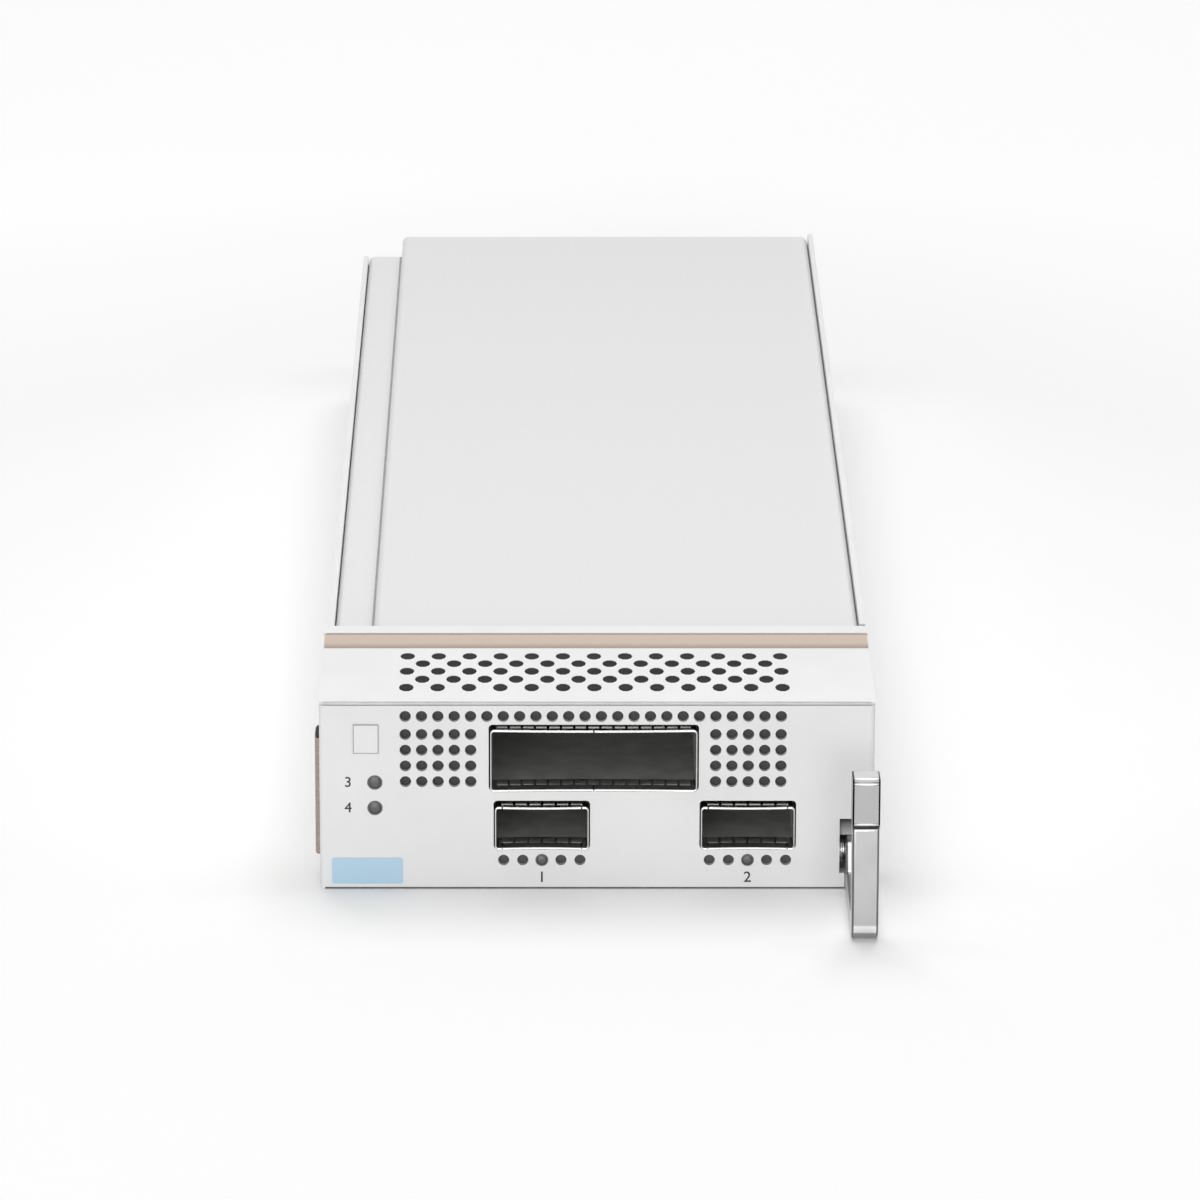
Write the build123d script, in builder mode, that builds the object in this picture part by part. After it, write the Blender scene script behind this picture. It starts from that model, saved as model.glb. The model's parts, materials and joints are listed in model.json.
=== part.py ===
from build123d import *
import os
from math import pi, tan

# Muxponder card: a plug-in line card for an optical transport chassis.
# Millimetres. X runs to the right, Y from the front to the back, Z up.
# The origin is on the underside, below the middle of the front section's rear edge,
# which is where the card's body enters the slot.

# Front section
half_width = 58.0
front_depth = 46.6
sheet = 1.2
face_corner = 1.0
seat_gap = 0.1
face_flange = 6.0
face_flange_sheet = 1.0
face_lip_height = 4.0
face_lip_margin = 9.6
round_sides = 10

# Body behind the front section
body_inset = 0.2
body_length = 345.4
cover_drop = 1.4
cover_sheet = 1.0
cover_bend = 1.0
cover_gap = 0.2
ledge_width = 10.1
ledge_drop = 5.3
right_wall_drop = 0.2
left_wall_rise = 0.6
wall_joggle_length = 2.0
wall_tongue_length = 20.0
tongue_drop = 2.1
wall_end_chamfer = 1.4
cover_tuck = 6.0
cover_flange = 11.0

# Curved hood over the front section
hood_rise = 3.1
hood_sheet = 1.3
hood_rear_band = 5.1
hood_strips = 6
hood_nose_height = 0.8
hood_nose_set_back = 0.5
hood_front_step = 0.4
seal_width = 11.0
seal_sink = 0.6
seal_thickness = 0.7
seal_end_gap = 0.3
side_seal_width = 10.0
side_seal_thickness = 1.1
side_seal_low = 6.4
side_seal_drop = 8.6
side_seal_set_back = 4.0

# Vent holes
face_vent_diameter = 2.4
face_vent_pitch = 3.41
face_vent_row_pitch = 3.45
face_vent_columns = 24
face_vent_block_columns = 5
face_vent_block_rows = 4
face_vent_centre_x = -0.78
face_vent_drop = 2.3
face_vent_block_drop = 3.95
hood_vent_diameter = 3.15
hood_vent_pitch = 6.56
hood_vent_row_pitch = 3.37
hood_vent_rows = 5
hood_vent_columns = 13
hood_vent_centre_x = -0.5
hood_vent_tilt = 45

# Ports
line_port_x = -0.65
line_port_width = 43.9
line_port_height = 14.5
line_port_margin = 4.1
port_row_gap = 2.2
line_opening_width = 42.6
line_opening_height = 12.6
line_cage_length = 92.0
line_finger_count = 15
client_port_1_x = -11.5
client_port_2_margin = 26.4
client_port_width = 20.2
client_port_low = 8.9
client_port_height = 10.6
client_opening_width = 19.0
client_opening_height = 8.5
opening_lift = 0.4
client_cage_length = 48.0
client_finger_count = 6
cage_wall = 0.4
cage_start = 6.0
strip_wall = 0.35
strip_proud = 0.8
finger_start = 0.5
finger_crest = 1.2
finger_length = 4.5
finger_slit = 0.45
finger_gap = 0.46
lip_split = 0.25
lip_split_margin = 1.2
port_corner = 0.8
socket_width_share = 0.84
socket_reach = 12.0
socket_slot_margin = 1.0
socket_slot_height = 1.4

# Indicators
client_light_height = 6.4
client_light_pitch = 4.0
client_light_count = 5
client_hole_diameter = 2.35
client_lens_diameter = 2.7
status_light_margin = 11.6
status_light_heights = (23.5, 17.9)
status_lens_diameter = 3.2
lens_gap = 0.05
light_leg_pitch = 6.0
light_block_half = 1.2
light_block_length = 4.8

# Blank plates on the face
name_plate_margin = 9.95
name_plate_low = 1.2
name_plate_width = 14.9
name_plate_height = 5.7
plate_thickness = 0.15
square_plate_margin = 9.75
square_plate_drop = 10.4
square_plate_width = 5.3
square_plate_height = 6.3
plate_corner = 0.6

# Circuit boards
board_thickness = 1.6
board_side_gap = 3.3
board_set_back = 9.0
board_rear_gap = 12.0
line_board_left = 33.35
line_board_right_margin = 6.5
line_board_overhang = 13.0
standoff_width = 5.5
standoff_margin = 9.5
standoff_front = 31.0
standoff_rear_margin = 30.0
spacer_left_margin = 4.0
spacer_right_margin = 3.2
spacer_end_margins = (8.0, 7.0)
screw_radius = 1.5
screw_hole_gap = 0.1
screw_head_radius = 2.75
screw_head_height = 1.8
screw_reach = 3.5

# Parts on the boards
chips_x = -6.0
processor_size = (40.0, 40.0, 3.0)
framer_size = (32.0, 32.0, 2.6)
sink_margin = 10.0
sink_base = 4.0
sink_fin = 1.4
sink_fin_count = 11
sink_top_gap = 3.0
line_sink_length = 40.0
line_sink_width = 34.0
line_sink_base = 1.5
line_sink_fins = 9
line_sink_top_gap = 0.6
memory_size = (10.0, 14.0, 1.2)
memory_gap = 7.0
memory_pitch = 22.0
memory_count = 4
power_module_size = (36.0, 58.0, 12.7)
power_module_side_gap = 2.25
power_module_rear_gap = 9.0
power_pin_height = 1.0
power_pin_width = 2.4
power_pin_margin = 5.0
link_size = (30.0, 6.0)
link_x = 6.0
link_rear_margin = 29.0
link_overlap = 1.2

# Rear connectors
signal_size = (17.0, 20.0, 18.0)
signal_slot = 1.2
signal_slot_pitch = 2.4
signal_slot_count = 6
signal_slot_depth = 8.0
signal_wall = 1.2
power_size = (30.0, 18.0, 14.0)
power_slot = 3.0
power_slot_pitch = 6.0
power_slot_count = 4
power_wall = 2.4
rear_reach = 4.0
guide_margin = 7.8
guide_width = 9.0
guide_height = 15.0
guide_length = 24.0
guide_bore = 3.1
guide_bore_depth = 18.0
rear_cut_gap = 0.4
rear_vent_width = 3.0
rear_vent_pitch = 6.0
rear_vent_height = 5.6
rear_vent_drop = 2.2

# Ejector lever
notch_side_gap = 1.3
notch_low = 2.3
notch_high = 15.5
lever_width = 5.5
lever_side_gap = 0.35
lever_reach = 34.3
lever_arm_height = 4.5
lever_bar_depth = 6.0
lever_bar_top = 34.6
lever_web_front = 3.0
lever_heel = 0.5
heel_share = 0.7
lever_corner = 4.0
lever_inner_corner = 3.0
pivot_set_back = 4.5
pivot_height = 7.5
hub_radius = 3.85
pin_radius = 1.5
pin_running_gap = 0.05
pin_seat_gap = 0.02
pin_head_radius = 2.5
pin_head_height = 1.0
pin_head_gap = 0.1
relief_gap = 1.6
cap_low = 24.9
cap_wall = 1.2
cap_proud = 0.5
cap_side_proud = 0.1
cap_top_wall = 1.0
cap_bevel = 0.85
bracket_sheet = 2.0
bracket_gap = 0.5
bracket_reach = 10.0
bracket_foot = 1.5
spring_wire = 0.5
spring_radius = 2.6
spring_turns = 1.5

# Places worked out from the sizes above
client_opening_low = client_port_low + opening_lift
line_port_low = client_port_low + client_port_height + port_row_gap
line_opening_low = line_port_low + opening_lift
face_height = line_port_low + line_port_height + line_port_margin
face_vent_top = face_height - face_vent_drop
face_vent_block_top = face_vent_top - face_vent_block_drop
hood_height = face_height + hood_rise
cover_height = hood_height - cover_drop
ledge_height = cover_height - ledge_drop
right_wall_height = hood_height - right_wall_drop
left_wall_height = ledge_height + left_wall_rise
tongue_height = ledge_height - tongue_drop
face_y = -front_depth
body_half_width = half_width - body_inset
tray_rear = body_length
nose_y = face_y + hood_front_step
nose_low = face_height + hood_nose_height
hood_curve_end = -hood_rear_band - seal_width
cover_right = body_half_width - sheet - cover_gap
cover_left = -cover_right
ledge_edge = -body_half_width + ledge_width
client_port_x = (client_port_1_x, half_width - client_port_2_margin)
status_light_x = -half_width + status_light_margin
board_top = client_opening_low - cage_wall
board_low = board_top - board_thickness
board_half_width = body_half_width - board_side_gap
board_rear = tray_rear - board_rear_gap
line_board_top = line_opening_low - cage_wall
line_board_low = line_board_top - board_thickness
cage_y = face_y + cage_start
line_board_rear = cage_y + line_cage_length + line_board_overhang
line_board_low_x = line_port_x - line_board_left
line_board_high_x = board_half_width - line_board_right_margin
standoff_x = board_half_width - standoff_margin
lever_high_x = half_width - lever_side_gap
lever_low_x = lever_high_x - lever_width
notch_low_x = lever_low_x - notch_side_gap
ear_x = notch_low_x - bracket_gap - bracket_sheet
pivot_y = face_y + pivot_set_back
lever_front = face_y - lever_reach
bar_rear = lever_front + lever_bar_depth
rear_face = tray_rear + rear_reach
# The rear connectors stand in a row between the two guide sockets, evenly spaced
guide_x = (-body_half_width + guide_margin, body_half_width - guide_margin)
rear_room = guide_x[1] - guide_x[0] - guide_width - power_size[0] - 2 * signal_size[0]
power_x = guide_x[0] + (guide_width + power_size[0]) / 2 + rear_room / 4
first_signal_x = power_x + (power_size[0] + signal_size[0]) / 2 + rear_room / 4
signal_x = (first_signal_x, first_signal_x + signal_size[0] + rear_room / 4)
# The two chips with their heat sinks share the room between the line board and the power module
module_rear = rear_face - power_size[1] - power_module_rear_gap
module_y = module_rear - power_module_size[1] / 2
module_x = -standoff_x + screw_head_radius + power_module_side_gap + power_module_size[0] / 2
processor_sink_length = processor_size[1] + 2 * sink_margin
framer_sink_length = framer_size[1] + 2 * sink_margin
chip_room = module_rear - power_module_size[1] - line_board_rear - processor_sink_length - framer_sink_length
processor_y = line_board_rear + chip_room / 3 + processor_sink_length / 2
framer_y = processor_y + (processor_sink_length + framer_sink_length) / 2 + chip_room / 3
memory_x = chips_x + processor_size[0] / 2 + sink_margin + memory_gap + memory_size[0] / 2


def box(low, high, mode=Mode.ADD):
    """A block between two opposite corners."""
    size = [b - a for a, b in zip(low, high)]
    middle = [(a + b) / 2 for a, b in zip(low, high)]
    with Locations(tuple(middle)):
        Box(*size, mode=mode)


def soft_rectangle(width, height, corner):
    """A rectangle with each corner rounded in three flats that touch the true arc."""
    first_cut = corner * (1 - tan(pi / 8))
    second_cut = corner * (tan(pi / 8) - tan(pi / 16))
    with BuildSketch() as outline:
        Rectangle(width, height)
        chamfer(outline.vertices(), first_cut)
        chamfer(outline.vertices(), second_cut)
    return outline.sketch


def finish(part, name):
    part.label = name
    export_step(part, f"parts/{name}.step")


os.makedirs("parts", exist_ok=True)
line_window = soft_rectangle(line_port_width, line_port_height, port_corner)
client_window = soft_rectangle(client_port_width, client_port_height, port_corner)
plate_outline = soft_rectangle(name_plate_width, name_plate_height, plate_corner)

# Face plate: one folded sheet with both sides turned back and a short top flange
with BuildPart() as faceplate:
    with BuildSketch(Plane.XY):
        with Locations((0, face_y + front_depth / 2)):
            Rectangle(2 * half_width, front_depth)
        with Locations((0, face_y + sheet + front_depth / 2)):
            Rectangle(2 * (half_width - sheet), front_depth, mode=Mode.SUBTRACT)
    extrude(amount=face_height)
    front_edges = faceplate.edges().filter_by(Axis.Z).group_by(Axis.Y)[0]
    fillet(front_edges, face_corner)
    box(
        (-half_width + sheet, face_y + sheet, face_height - face_flange_sheet),
        (half_width - sheet, face_y + face_flange, face_height),
    )
    # Port windows
    with BuildSketch(Plane.XZ.offset(-face_y)) as port_windows:
        with Locations((line_port_x, line_port_low + line_port_height / 2)):
            add(line_window)
        for x in client_port_x:
            with Locations((x, client_port_low + client_port_height / 2)):
                add(client_window)
    extrude(amount=-sheet, mode=Mode.SUBTRACT)
    # Vent holes: one long row on top and a block of short rows each side of the line port.
    # They are ten-sided, which reads as round at this size and keeps the sheet light.
    with BuildSketch(Plane.XZ.offset(-face_y)) as vents:
        with Locations((face_vent_centre_x, face_vent_top)):
            with GridLocations(face_vent_pitch, face_vent_pitch, face_vent_columns, 1):
                RegularPolygon(face_vent_diameter / 2, round_sides)
        block_shift = (face_vent_columns - face_vent_block_columns) * face_vent_pitch / 2
        block_middle = face_vent_block_top - (face_vent_block_rows - 1) * face_vent_row_pitch / 2
        for side in (-1, 1):
            with Locations((face_vent_centre_x + side * block_shift, block_middle)):
                with GridLocations(
                    face_vent_pitch, face_vent_row_pitch, face_vent_block_columns, face_vent_block_rows
                ):
                    RegularPolygon(face_vent_diameter / 2, round_sides)
        # Indicator holes, the middle one of each row wider for its lens
        for x in client_port_x:
            with Locations((x, client_light_height)):
                with GridLocations(client_light_pitch, client_light_pitch, client_light_count, 1):
                    RegularPolygon(client_hole_diameter / 2, round_sides)
                RegularPolygon(client_lens_diameter / 2, round_sides)
        for height in status_light_heights:
            with Locations((status_light_x, height)):
                RegularPolygon(status_lens_diameter / 2, round_sides)
    extrude(amount=-sheet, mode=Mode.SUBTRACT)
    # Corner notch for the ejector lever, through the fold and open below the lever
    notch_depth = pivot_set_back + hub_radius + relief_gap
    box(
        (notch_low_x, face_y - sheet, notch_low),
        (half_width + sheet, face_y + notch_depth, notch_high),
        mode=Mode.SUBTRACT,
    )
    box(
        (lever_low_x - cover_gap, face_y - sheet, -sheet),
        (half_width + sheet, face_y + notch_depth, notch_low + sheet),
        mode=Mode.SUBTRACT,
    )
finish(faceplate.part, "faceplate")

# Hood: a gently curved sheet with closed sides, standing on the face plate


def flat_strips(crest, nose):
    """Points along the arc that leaves the crest level and comes down to the nose."""
    arc = TangentArc(crest, nose, tangent=(-1, 0))
    return [arc @ (n / hood_strips) for n in range(hood_strips + 1)]


nose_inside_y = nose_y + hood_nose_set_back + hood_sheet
outer_curve = flat_strips((hood_curve_end, hood_height), (nose_y, nose_low))
inner_curve = flat_strips(
    (hood_curve_end, hood_height - hood_sheet), (nose_inside_y, nose_low - hood_nose_height / 2)
)
with BuildPart() as hood:
    with BuildSketch(Plane.YZ) as hood_side:
        with BuildLine():
            Polyline(
                *outer_curve,
                (nose_y + hood_nose_set_back, nose_low),
                (nose_y + hood_nose_set_back, face_height),
                (0, face_height),
                (0, hood_height),
                close=True,
            )
        make_face()
    extrude(amount=half_width, both=True)
    with BuildSketch(Plane.YZ) as hood_hollow:
        with BuildLine():
            Polyline(
                *inner_curve,
                (nose_inside_y, face_height - sheet),
                (sheet, face_height - sheet),
                (sheet, hood_height - hood_sheet),
                close=True,
            )
        make_face()
    extrude(amount=half_width - sheet, both=True, mode=Mode.SUBTRACT)
    # Rear panel over the lower left ledge
    box(
        (-half_width + sheet, -sheet, ledge_height + cover_gap),
        (ledge_edge - cover_gap, 0, hood_height - hood_sheet),
    )
    # Shallow channel for the seal
    seal_y = hood_curve_end
    box(
        (-half_width - sheet, seal_y, hood_height - seal_sink),
        (half_width + sheet, seal_y + seal_width, hood_height + sheet),
        mode=Mode.SUBTRACT,
    )
    # Staggered vent holes, all cut along one slanting direction
    vent_plane = Plane(
        origin=(hood_vent_centre_x, (nose_y + hood_curve_end) / 2, hood_height),
        x_dir=(1, 0, 0),
        z_dir=Vector(0, 0, 1).rotate(Axis.X, hood_vent_tilt),
    )
    with BuildSketch(vent_plane):
        for row in range(hood_vent_rows):
            columns = hood_vent_columns - row % 2
            height = (row - (hood_vent_rows - 1) / 2) * hood_vent_row_pitch
            with Locations((0, height)):
                with GridLocations(hood_vent_pitch, hood_vent_pitch, columns, 1):
                    RegularPolygon(hood_vent_diameter / 2, round_sides)
    vent_reach = hood_vent_rows * hood_vent_row_pitch / 2 + 2 * hood_sheet
    extrude(amount=vent_reach, both=True, mode=Mode.SUBTRACT)
finish(hood.part, "hood")

# Conductive foam seals
with BuildPart() as top_seal:
    box(
        (-half_width + seal_end_gap, seal_y + seat_gap, hood_height - seal_sink),
        (half_width - seal_end_gap, seal_y + seal_width - seat_gap, hood_height - seal_sink + seal_thickness),
    )
    fillet(top_seal.edges().filter_by(Axis.X).group_by(Axis.Z)[-1], seal_thickness / 2)
finish(top_seal.part, "top_seal")

with BuildPart() as side_seal:
    box(
        (-half_width - side_seal_thickness, face_y + side_seal_set_back, side_seal_low),
        (-half_width, face_y + side_seal_set_back + side_seal_width, face_height - side_seal_drop),
    )
    chamfer(side_seal.edges().filter_by(Axis.Y).group_by(Axis.X)[0], side_seal_thickness / 2)
    fillet(side_seal.edges().filter_by(Axis.Z).group_by(Axis.X)[0], side_seal_thickness / 3)
finish(side_seal.part, "side_seal")

# Tray: floor, two side walls and rear wall folded from one sheet
with BuildPart() as tray:
    wall_x = body_half_width - sheet / 2
    tongue_x = half_width - sheet - cover_gap - sheet / 2
    rear_y = tray_rear - sheet / 2
    with BuildSketch(Plane.XY):
        with BuildLine():
            Polyline(
                (tongue_x, -wall_tongue_length),
                (tongue_x, 0),
                (wall_x, wall_joggle_length),
                (wall_x, rear_y),
                (-wall_x, rear_y),
                (-wall_x, wall_joggle_length),
                (-tongue_x, 0),
                (-tongue_x, -wall_tongue_length),
            )
        trace(line_width=sheet)
    extrude(amount=right_wall_height)
    # Wall tops: lower left wall, rear wall under the cover, tongues under the hood
    box(
        (-half_width, -front_depth, left_wall_height),
        (-half_width + 2 * sheet, tray_rear + sheet, hood_height),
        mode=Mode.SUBTRACT,
    )
    box(
        (-body_half_width + sheet, tray_rear - 2 * sheet, ledge_height - cover_sheet - cover_bend),
        (ledge_edge + cover_sheet + cover_gap, tray_rear + sheet, hood_height),
        mode=Mode.SUBTRACT,
    )
    box(
        (ledge_edge, tray_rear - 2 * sheet, cover_height - cover_sheet - cover_bend),
        (body_half_width - sheet, tray_rear + sheet, hood_height),
        mode=Mode.SUBTRACT,
    )
    box(
        (-half_width, -front_depth, tongue_height),
        (half_width, wall_joggle_length + cover_gap, hood_height),
        mode=Mode.SUBTRACT,
    )
    # Floor, narrower between the sides of the face plate
    box((-body_half_width, wall_joggle_length, 0), (body_half_width, tray_rear, sheet))
    floor_half = tongue_x + sheet / 2
    box((-floor_half, face_y + sheet, 0), (floor_half, wall_joggle_length, sheet))
    # Front lip that is riveted to the back of the face plate
    box(
        (-half_width + face_lip_margin, face_y + sheet, 0),
        (ear_x - bracket_reach - sheet, face_y + 2 * sheet, face_lip_height),
    )
    # Relief under the lever
    box(
        (notch_low_x - sheet, face_y, -sheet),
        (half_width, face_y + notch_depth, 2 * sheet),
        mode=Mode.SUBTRACT,
    )
    # Windows in the rear wall for the connectors, and vent slots above them
    rear_windows = [(x, signal_size[0], signal_size[2]) for x in signal_x]
    rear_windows.append((power_x, power_size[0], power_size[2]))
    rear_windows += [(x, guide_width, guide_height) for x in guide_x]
    for x, width, height in rear_windows:
        box(
            (x - width / 2 - rear_cut_gap, tray_rear - 2 * sheet, board_top - rear_cut_gap),
            (x + width / 2 + rear_cut_gap, tray_rear + sheet, board_top + height + rear_cut_gap),
            mode=Mode.SUBTRACT,
        )
    rear_vent_count = int(2 * standoff_x / rear_vent_pitch)
    with BuildSketch(Plane.XZ.offset(-tray_rear)):
        with Locations((0, ledge_height - rear_vent_drop - rear_vent_height / 2)):
            with GridLocations(rear_vent_pitch, rear_vent_pitch, rear_vent_count, 1):
                Rectangle(rear_vent_width, rear_vent_height)
    extrude(amount=sheet, mode=Mode.SUBTRACT)
    # Both walls have their upper rear corner cut off
    for side, height in ((-1, left_wall_height), (1, right_wall_height)):
        with BuildSketch(Plane.YZ.offset(side * wall_x)):
            Polygon(
                (tray_rear, height),
                (tray_rear - wall_end_chamfer, height),
                (tray_rear, height - wall_end_chamfer),
                align=None,
            )
        extrude(amount=sheet, both=True, mode=Mode.SUBTRACT)
finish(tray.part, "tray")

# Cover: one folded sheet inside the walls, with a lower ledge on the left
with BuildPart() as cover:
    half_sheet = cover_sheet / 2
    mid_high = cover_height - half_sheet
    mid_ledge = ledge_height - half_sheet
    with BuildSketch(Plane.XZ.offset(-tray_rear)):
        with BuildLine():
            FilletPolyline(
                (cover_left + half_sheet, mid_ledge - cover_flange),
                (cover_left + half_sheet, mid_ledge),
                (ledge_edge + half_sheet, mid_ledge),
                (ledge_edge + half_sheet, mid_high),
                (cover_right - half_sheet, mid_high),
                (cover_right - half_sheet, mid_high - cover_flange),
                radius=cover_bend,
            )
        trace(line_width=cover_sheet)
    extrude(amount=tray_rear + cover_tuck)
    # In front only the high part reaches forward, under the hood
    box(
        (-half_width, -2 * cover_tuck, 0),
        (ledge_edge + cover_sheet + cover_bend, seat_gap, cover_height + sheet),
        mode=Mode.SUBTRACT,
    )
    box(
        (cover_right - cover_sheet - cover_bend, -2 * cover_tuck, 0),
        (half_width, seat_gap, cover_height + sheet),
        mode=Mode.SUBTRACT,
    )
    # Flanges stop short of the joggle and of the rear wall
    front_cut = (seat_gap - sheet, wall_joggle_length + sheet)
    rear_cut = (tray_rear - 2 * sheet, tray_rear + sheet)
    for low, high in (front_cut, rear_cut):
        box(
            (-half_width, low, mid_ledge - cover_flange - sheet),
            (ledge_edge, high, ledge_height - cover_sheet - cover_bend),
            mode=Mode.SUBTRACT,
        )
        box(
            (ledge_edge + 2 * cover_sheet, low, mid_high - cover_flange - sheet),
            (half_width, high, cover_height - cover_sheet - cover_bend),
            mode=Mode.SUBTRACT,
        )
finish(cover.part, "cover")

# Circuit boards on their standoffs
standoff_rows = (face_y + standoff_front, board_rear - standoff_rear_margin)
standoff_y = (standoff_rows[0], sum(standoff_rows) / 2, standoff_rows[1])
standoff_places = [(side * standoff_x, y) for side in (-1, 1) for y in standoff_y]
spacer_x = (line_board_low_x + spacer_left_margin, line_board_high_x - spacer_right_margin)
spacer_y = (cage_y + spacer_end_margins[0], line_board_rear - spacer_end_margins[1])
spacer_places = [(x, y) for x in spacer_x for y in spacer_y]
hole_radius = screw_radius + screw_hole_gap


def round_rods(places, radius, low, high):
    """Upright rods, for shanks or to cut holes with, ten-sided to keep small round features light."""
    with BuildPart() as rods:
        with BuildSketch(Plane.XY.offset(low)):
            with Locations(*places):
                RegularPolygon(radius, round_sides)
        extrude(amount=high - low)
    return rods.part


main_board_holes = round_rods(standoff_places, hole_radius, board_low, board_top)
line_board_holes = round_rods(spacer_places, hole_radius, line_board_low, line_board_top)
with BuildPart() as main_board:
    box((-board_half_width, face_y + board_set_back, board_low), (board_half_width, board_rear, board_top))
    box(
        (ear_x - sheet, face_y, board_low - sheet),
        (half_width, face_y + bracket_reach + board_set_back, board_top + sheet),
        mode=Mode.SUBTRACT,
    )
    add(main_board_holes, mode=Mode.SUBTRACT)
finish(main_board.part, "main_board")

with BuildPart() as line_board:
    box((line_board_low_x, cage_y, line_board_low), (line_board_high_x, line_board_rear, line_board_top))
    add(line_board_holes, mode=Mode.SUBTRACT)
finish(line_board.part, "line_board")


def standoff_group(places, low, high):
    """Hexagonal standoffs with a blind screw hole in the top."""
    holes = round_rods(places, hole_radius, high - screw_reach - screw_hole_gap, high)
    with BuildPart() as group:
        with BuildSketch(Plane.XY.offset(low)):
            with Locations(*places):
                RegularPolygon(standoff_width / 2, 6, major_radius=False)
        extrude(amount=high - low)
        add(holes, mode=Mode.SUBTRACT)
    return group.part


def screw_group(places, seat):
    """Hexagon-head screws, each down through a board into its standoff."""
    shanks = round_rods(places, screw_radius, seat - board_thickness - screw_reach, seat)
    with BuildPart() as group:
        with BuildSketch(Plane.XY.offset(seat)):
            with Locations(*places):
                RegularPolygon(screw_head_radius, 6)
        extrude(amount=screw_head_height)
        add(shanks)
    return group.part


finish(standoff_group(standoff_places, sheet, board_low), "board_standoffs")
finish(screw_group(standoff_places, board_top), "board_screws")
finish(standoff_group(spacer_places, board_top, line_board_low), "line_board_spacers")
finish(screw_group(spacer_places, line_board_top), "line_board_screws")

# Ports: a spring-finger frame in the window, a cage behind it and a connector inside


def finger_frame(x, window_top, opening, fingers, splits):
    """A thin tube through the window, standing proud of the face, with sprung fingers on its top.
    opening is (width, low edge, height), splits the places of the slits in its lips."""
    inner_width, inner_low, inner_height = opening
    inner_high = inner_low + inner_height
    tube_top = inner_high + strip_wall
    strip_front = face_y - strip_proud
    tube_outline = soft_rectangle(inner_width + 2 * strip_wall, inner_height + 2 * strip_wall, port_corner)
    with BuildPart() as frame:
        with BuildSketch(Plane.XZ.offset(-strip_front)):
            with Locations((x, inner_low + inner_height / 2)):
                add(tube_outline)
                Rectangle(inner_width, inner_height, mode=Mode.SUBTRACT)
        extrude(amount=-(cage_start + strip_proud))
        # Fingers: one bowed strip across the top, slit into its fingers
        crest = window_top - finger_gap
        with BuildSketch(Plane.YZ.offset(x)):
            Polygon(
                (face_y + finger_start, inner_high),
                (face_y + finger_start, crest),
                (face_y + finger_start + finger_crest, crest),
                (face_y + finger_length, tube_top),
                (face_y + finger_length, inner_high),
                align=None,
            )
        extrude(amount=inner_width / 2 - port_corner, both=True)
        slit_pitch = (inner_width - 2 * port_corner) / fingers
        with Locations((x, face_y + finger_length / 2, (tube_top + crest + sheet) / 2)):
            with GridLocations(slit_pitch, slit_pitch, fingers - 1, 1):
                Box(finger_slit, finger_length, crest + sheet - tube_top, mode=Mode.SUBTRACT)
        # Slits in the upper and lower lips
        for split in splits:
            box(
                (split - lip_split / 2, strip_front, inner_low - 2 * strip_wall),
                (split + lip_split / 2, face_y + finger_start, tube_top + strip_wall),
                mode=Mode.SUBTRACT,
            )
    return frame.part


def cage(x, opening, length):
    """A folded tube of thin sheet behind the opening, closed at the rear above the connector."""
    width, low, height = opening
    with BuildPart() as shell:
        box(
            (x - width / 2 - cage_wall, cage_y, low - cage_wall),
            (x + width / 2 + cage_wall, cage_y + length, low + height + cage_wall),
        )
        box(
            (x - width / 2, cage_y - cage_wall, low),
            (x + width / 2, cage_y + length - cage_wall, low + height),
            mode=Mode.SUBTRACT,
        )
        # Latch window in each side wall
        box(
            (x - width, cage_y + length / 4, low + height / 3),
            (x + width, cage_y + length / 4 + 5 * cage_wall, low + 2 * height / 3),
            mode=Mode.SUBTRACT,
        )
    return shell.part


def edge_socket(x, opening, length):
    """A connector block on the floor of a cage, with a slot for the module's card edge."""
    width, low, height = opening
    rear = cage_y + length - cage_wall
    front = rear - socket_reach
    half = socket_width_share * width / 2
    slot_low = low + height / 3
    with BuildPart() as socket:
        box((x - half, front, low), (x + half, rear, low + 2 * height / 3))
        box(
            (x - half + socket_slot_margin, front - cage_wall, slot_low),
            (x + half - socket_slot_margin, rear - socket_reach / 3, slot_low + socket_slot_height),
            mode=Mode.SUBTRACT,
        )
    return socket.part


line_window_top = line_port_low + line_port_height
line_opening = (line_opening_width, line_opening_low, line_opening_height)
line_fingers = finger_frame(line_port_x, line_window_top, line_opening, line_finger_count, [line_port_x])
finish(line_fingers, "line_port_fingers")
finish(cage(line_port_x, line_opening, line_cage_length), "line_cage")
finish(edge_socket(line_port_x, line_opening, line_cage_length), "line_socket")

client_window_top = client_port_low + client_port_height
client_opening = (client_opening_width, client_opening_low, client_opening_height)
split_reach = client_opening_width / 2 - lip_split_margin
for number, x in enumerate(client_port_x, 1):
    splits = (x - split_reach, x + split_reach)
    client_fingers = finger_frame(x, client_window_top, client_opening, client_finger_count, splits)
    finish(client_fingers, f"client_port_fingers_{number}")
    finish(cage(x, client_opening, client_cage_length), f"client_cage_{number}")
    finish(edge_socket(x, client_opening, client_cage_length), f"client_socket_{number}")

# Light pipes: a round lens in the face, bent down to the board or tucked under it
for number, height in enumerate(status_light_heights, 1):
    leg_y = face_y + board_set_back + (len(status_light_heights) + 1 - number) * light_leg_pitch
    leg_half = status_lens_diameter / 2 - 2 * lens_gap
    with BuildPart() as status_pipe:
        with BuildSketch(Plane.XZ.offset(-face_y)):
            with Locations((status_light_x, height)):
                RegularPolygon(status_lens_diameter / 2 - lens_gap, round_sides)
        extrude(amount=-(leg_y - face_y))
        box(
            (status_light_x - leg_half, leg_y - leg_half, board_top),
            (status_light_x + leg_half, leg_y + leg_half, height + leg_half),
        )
    finish(status_pipe.part, f"status_light_{number}")

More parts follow.
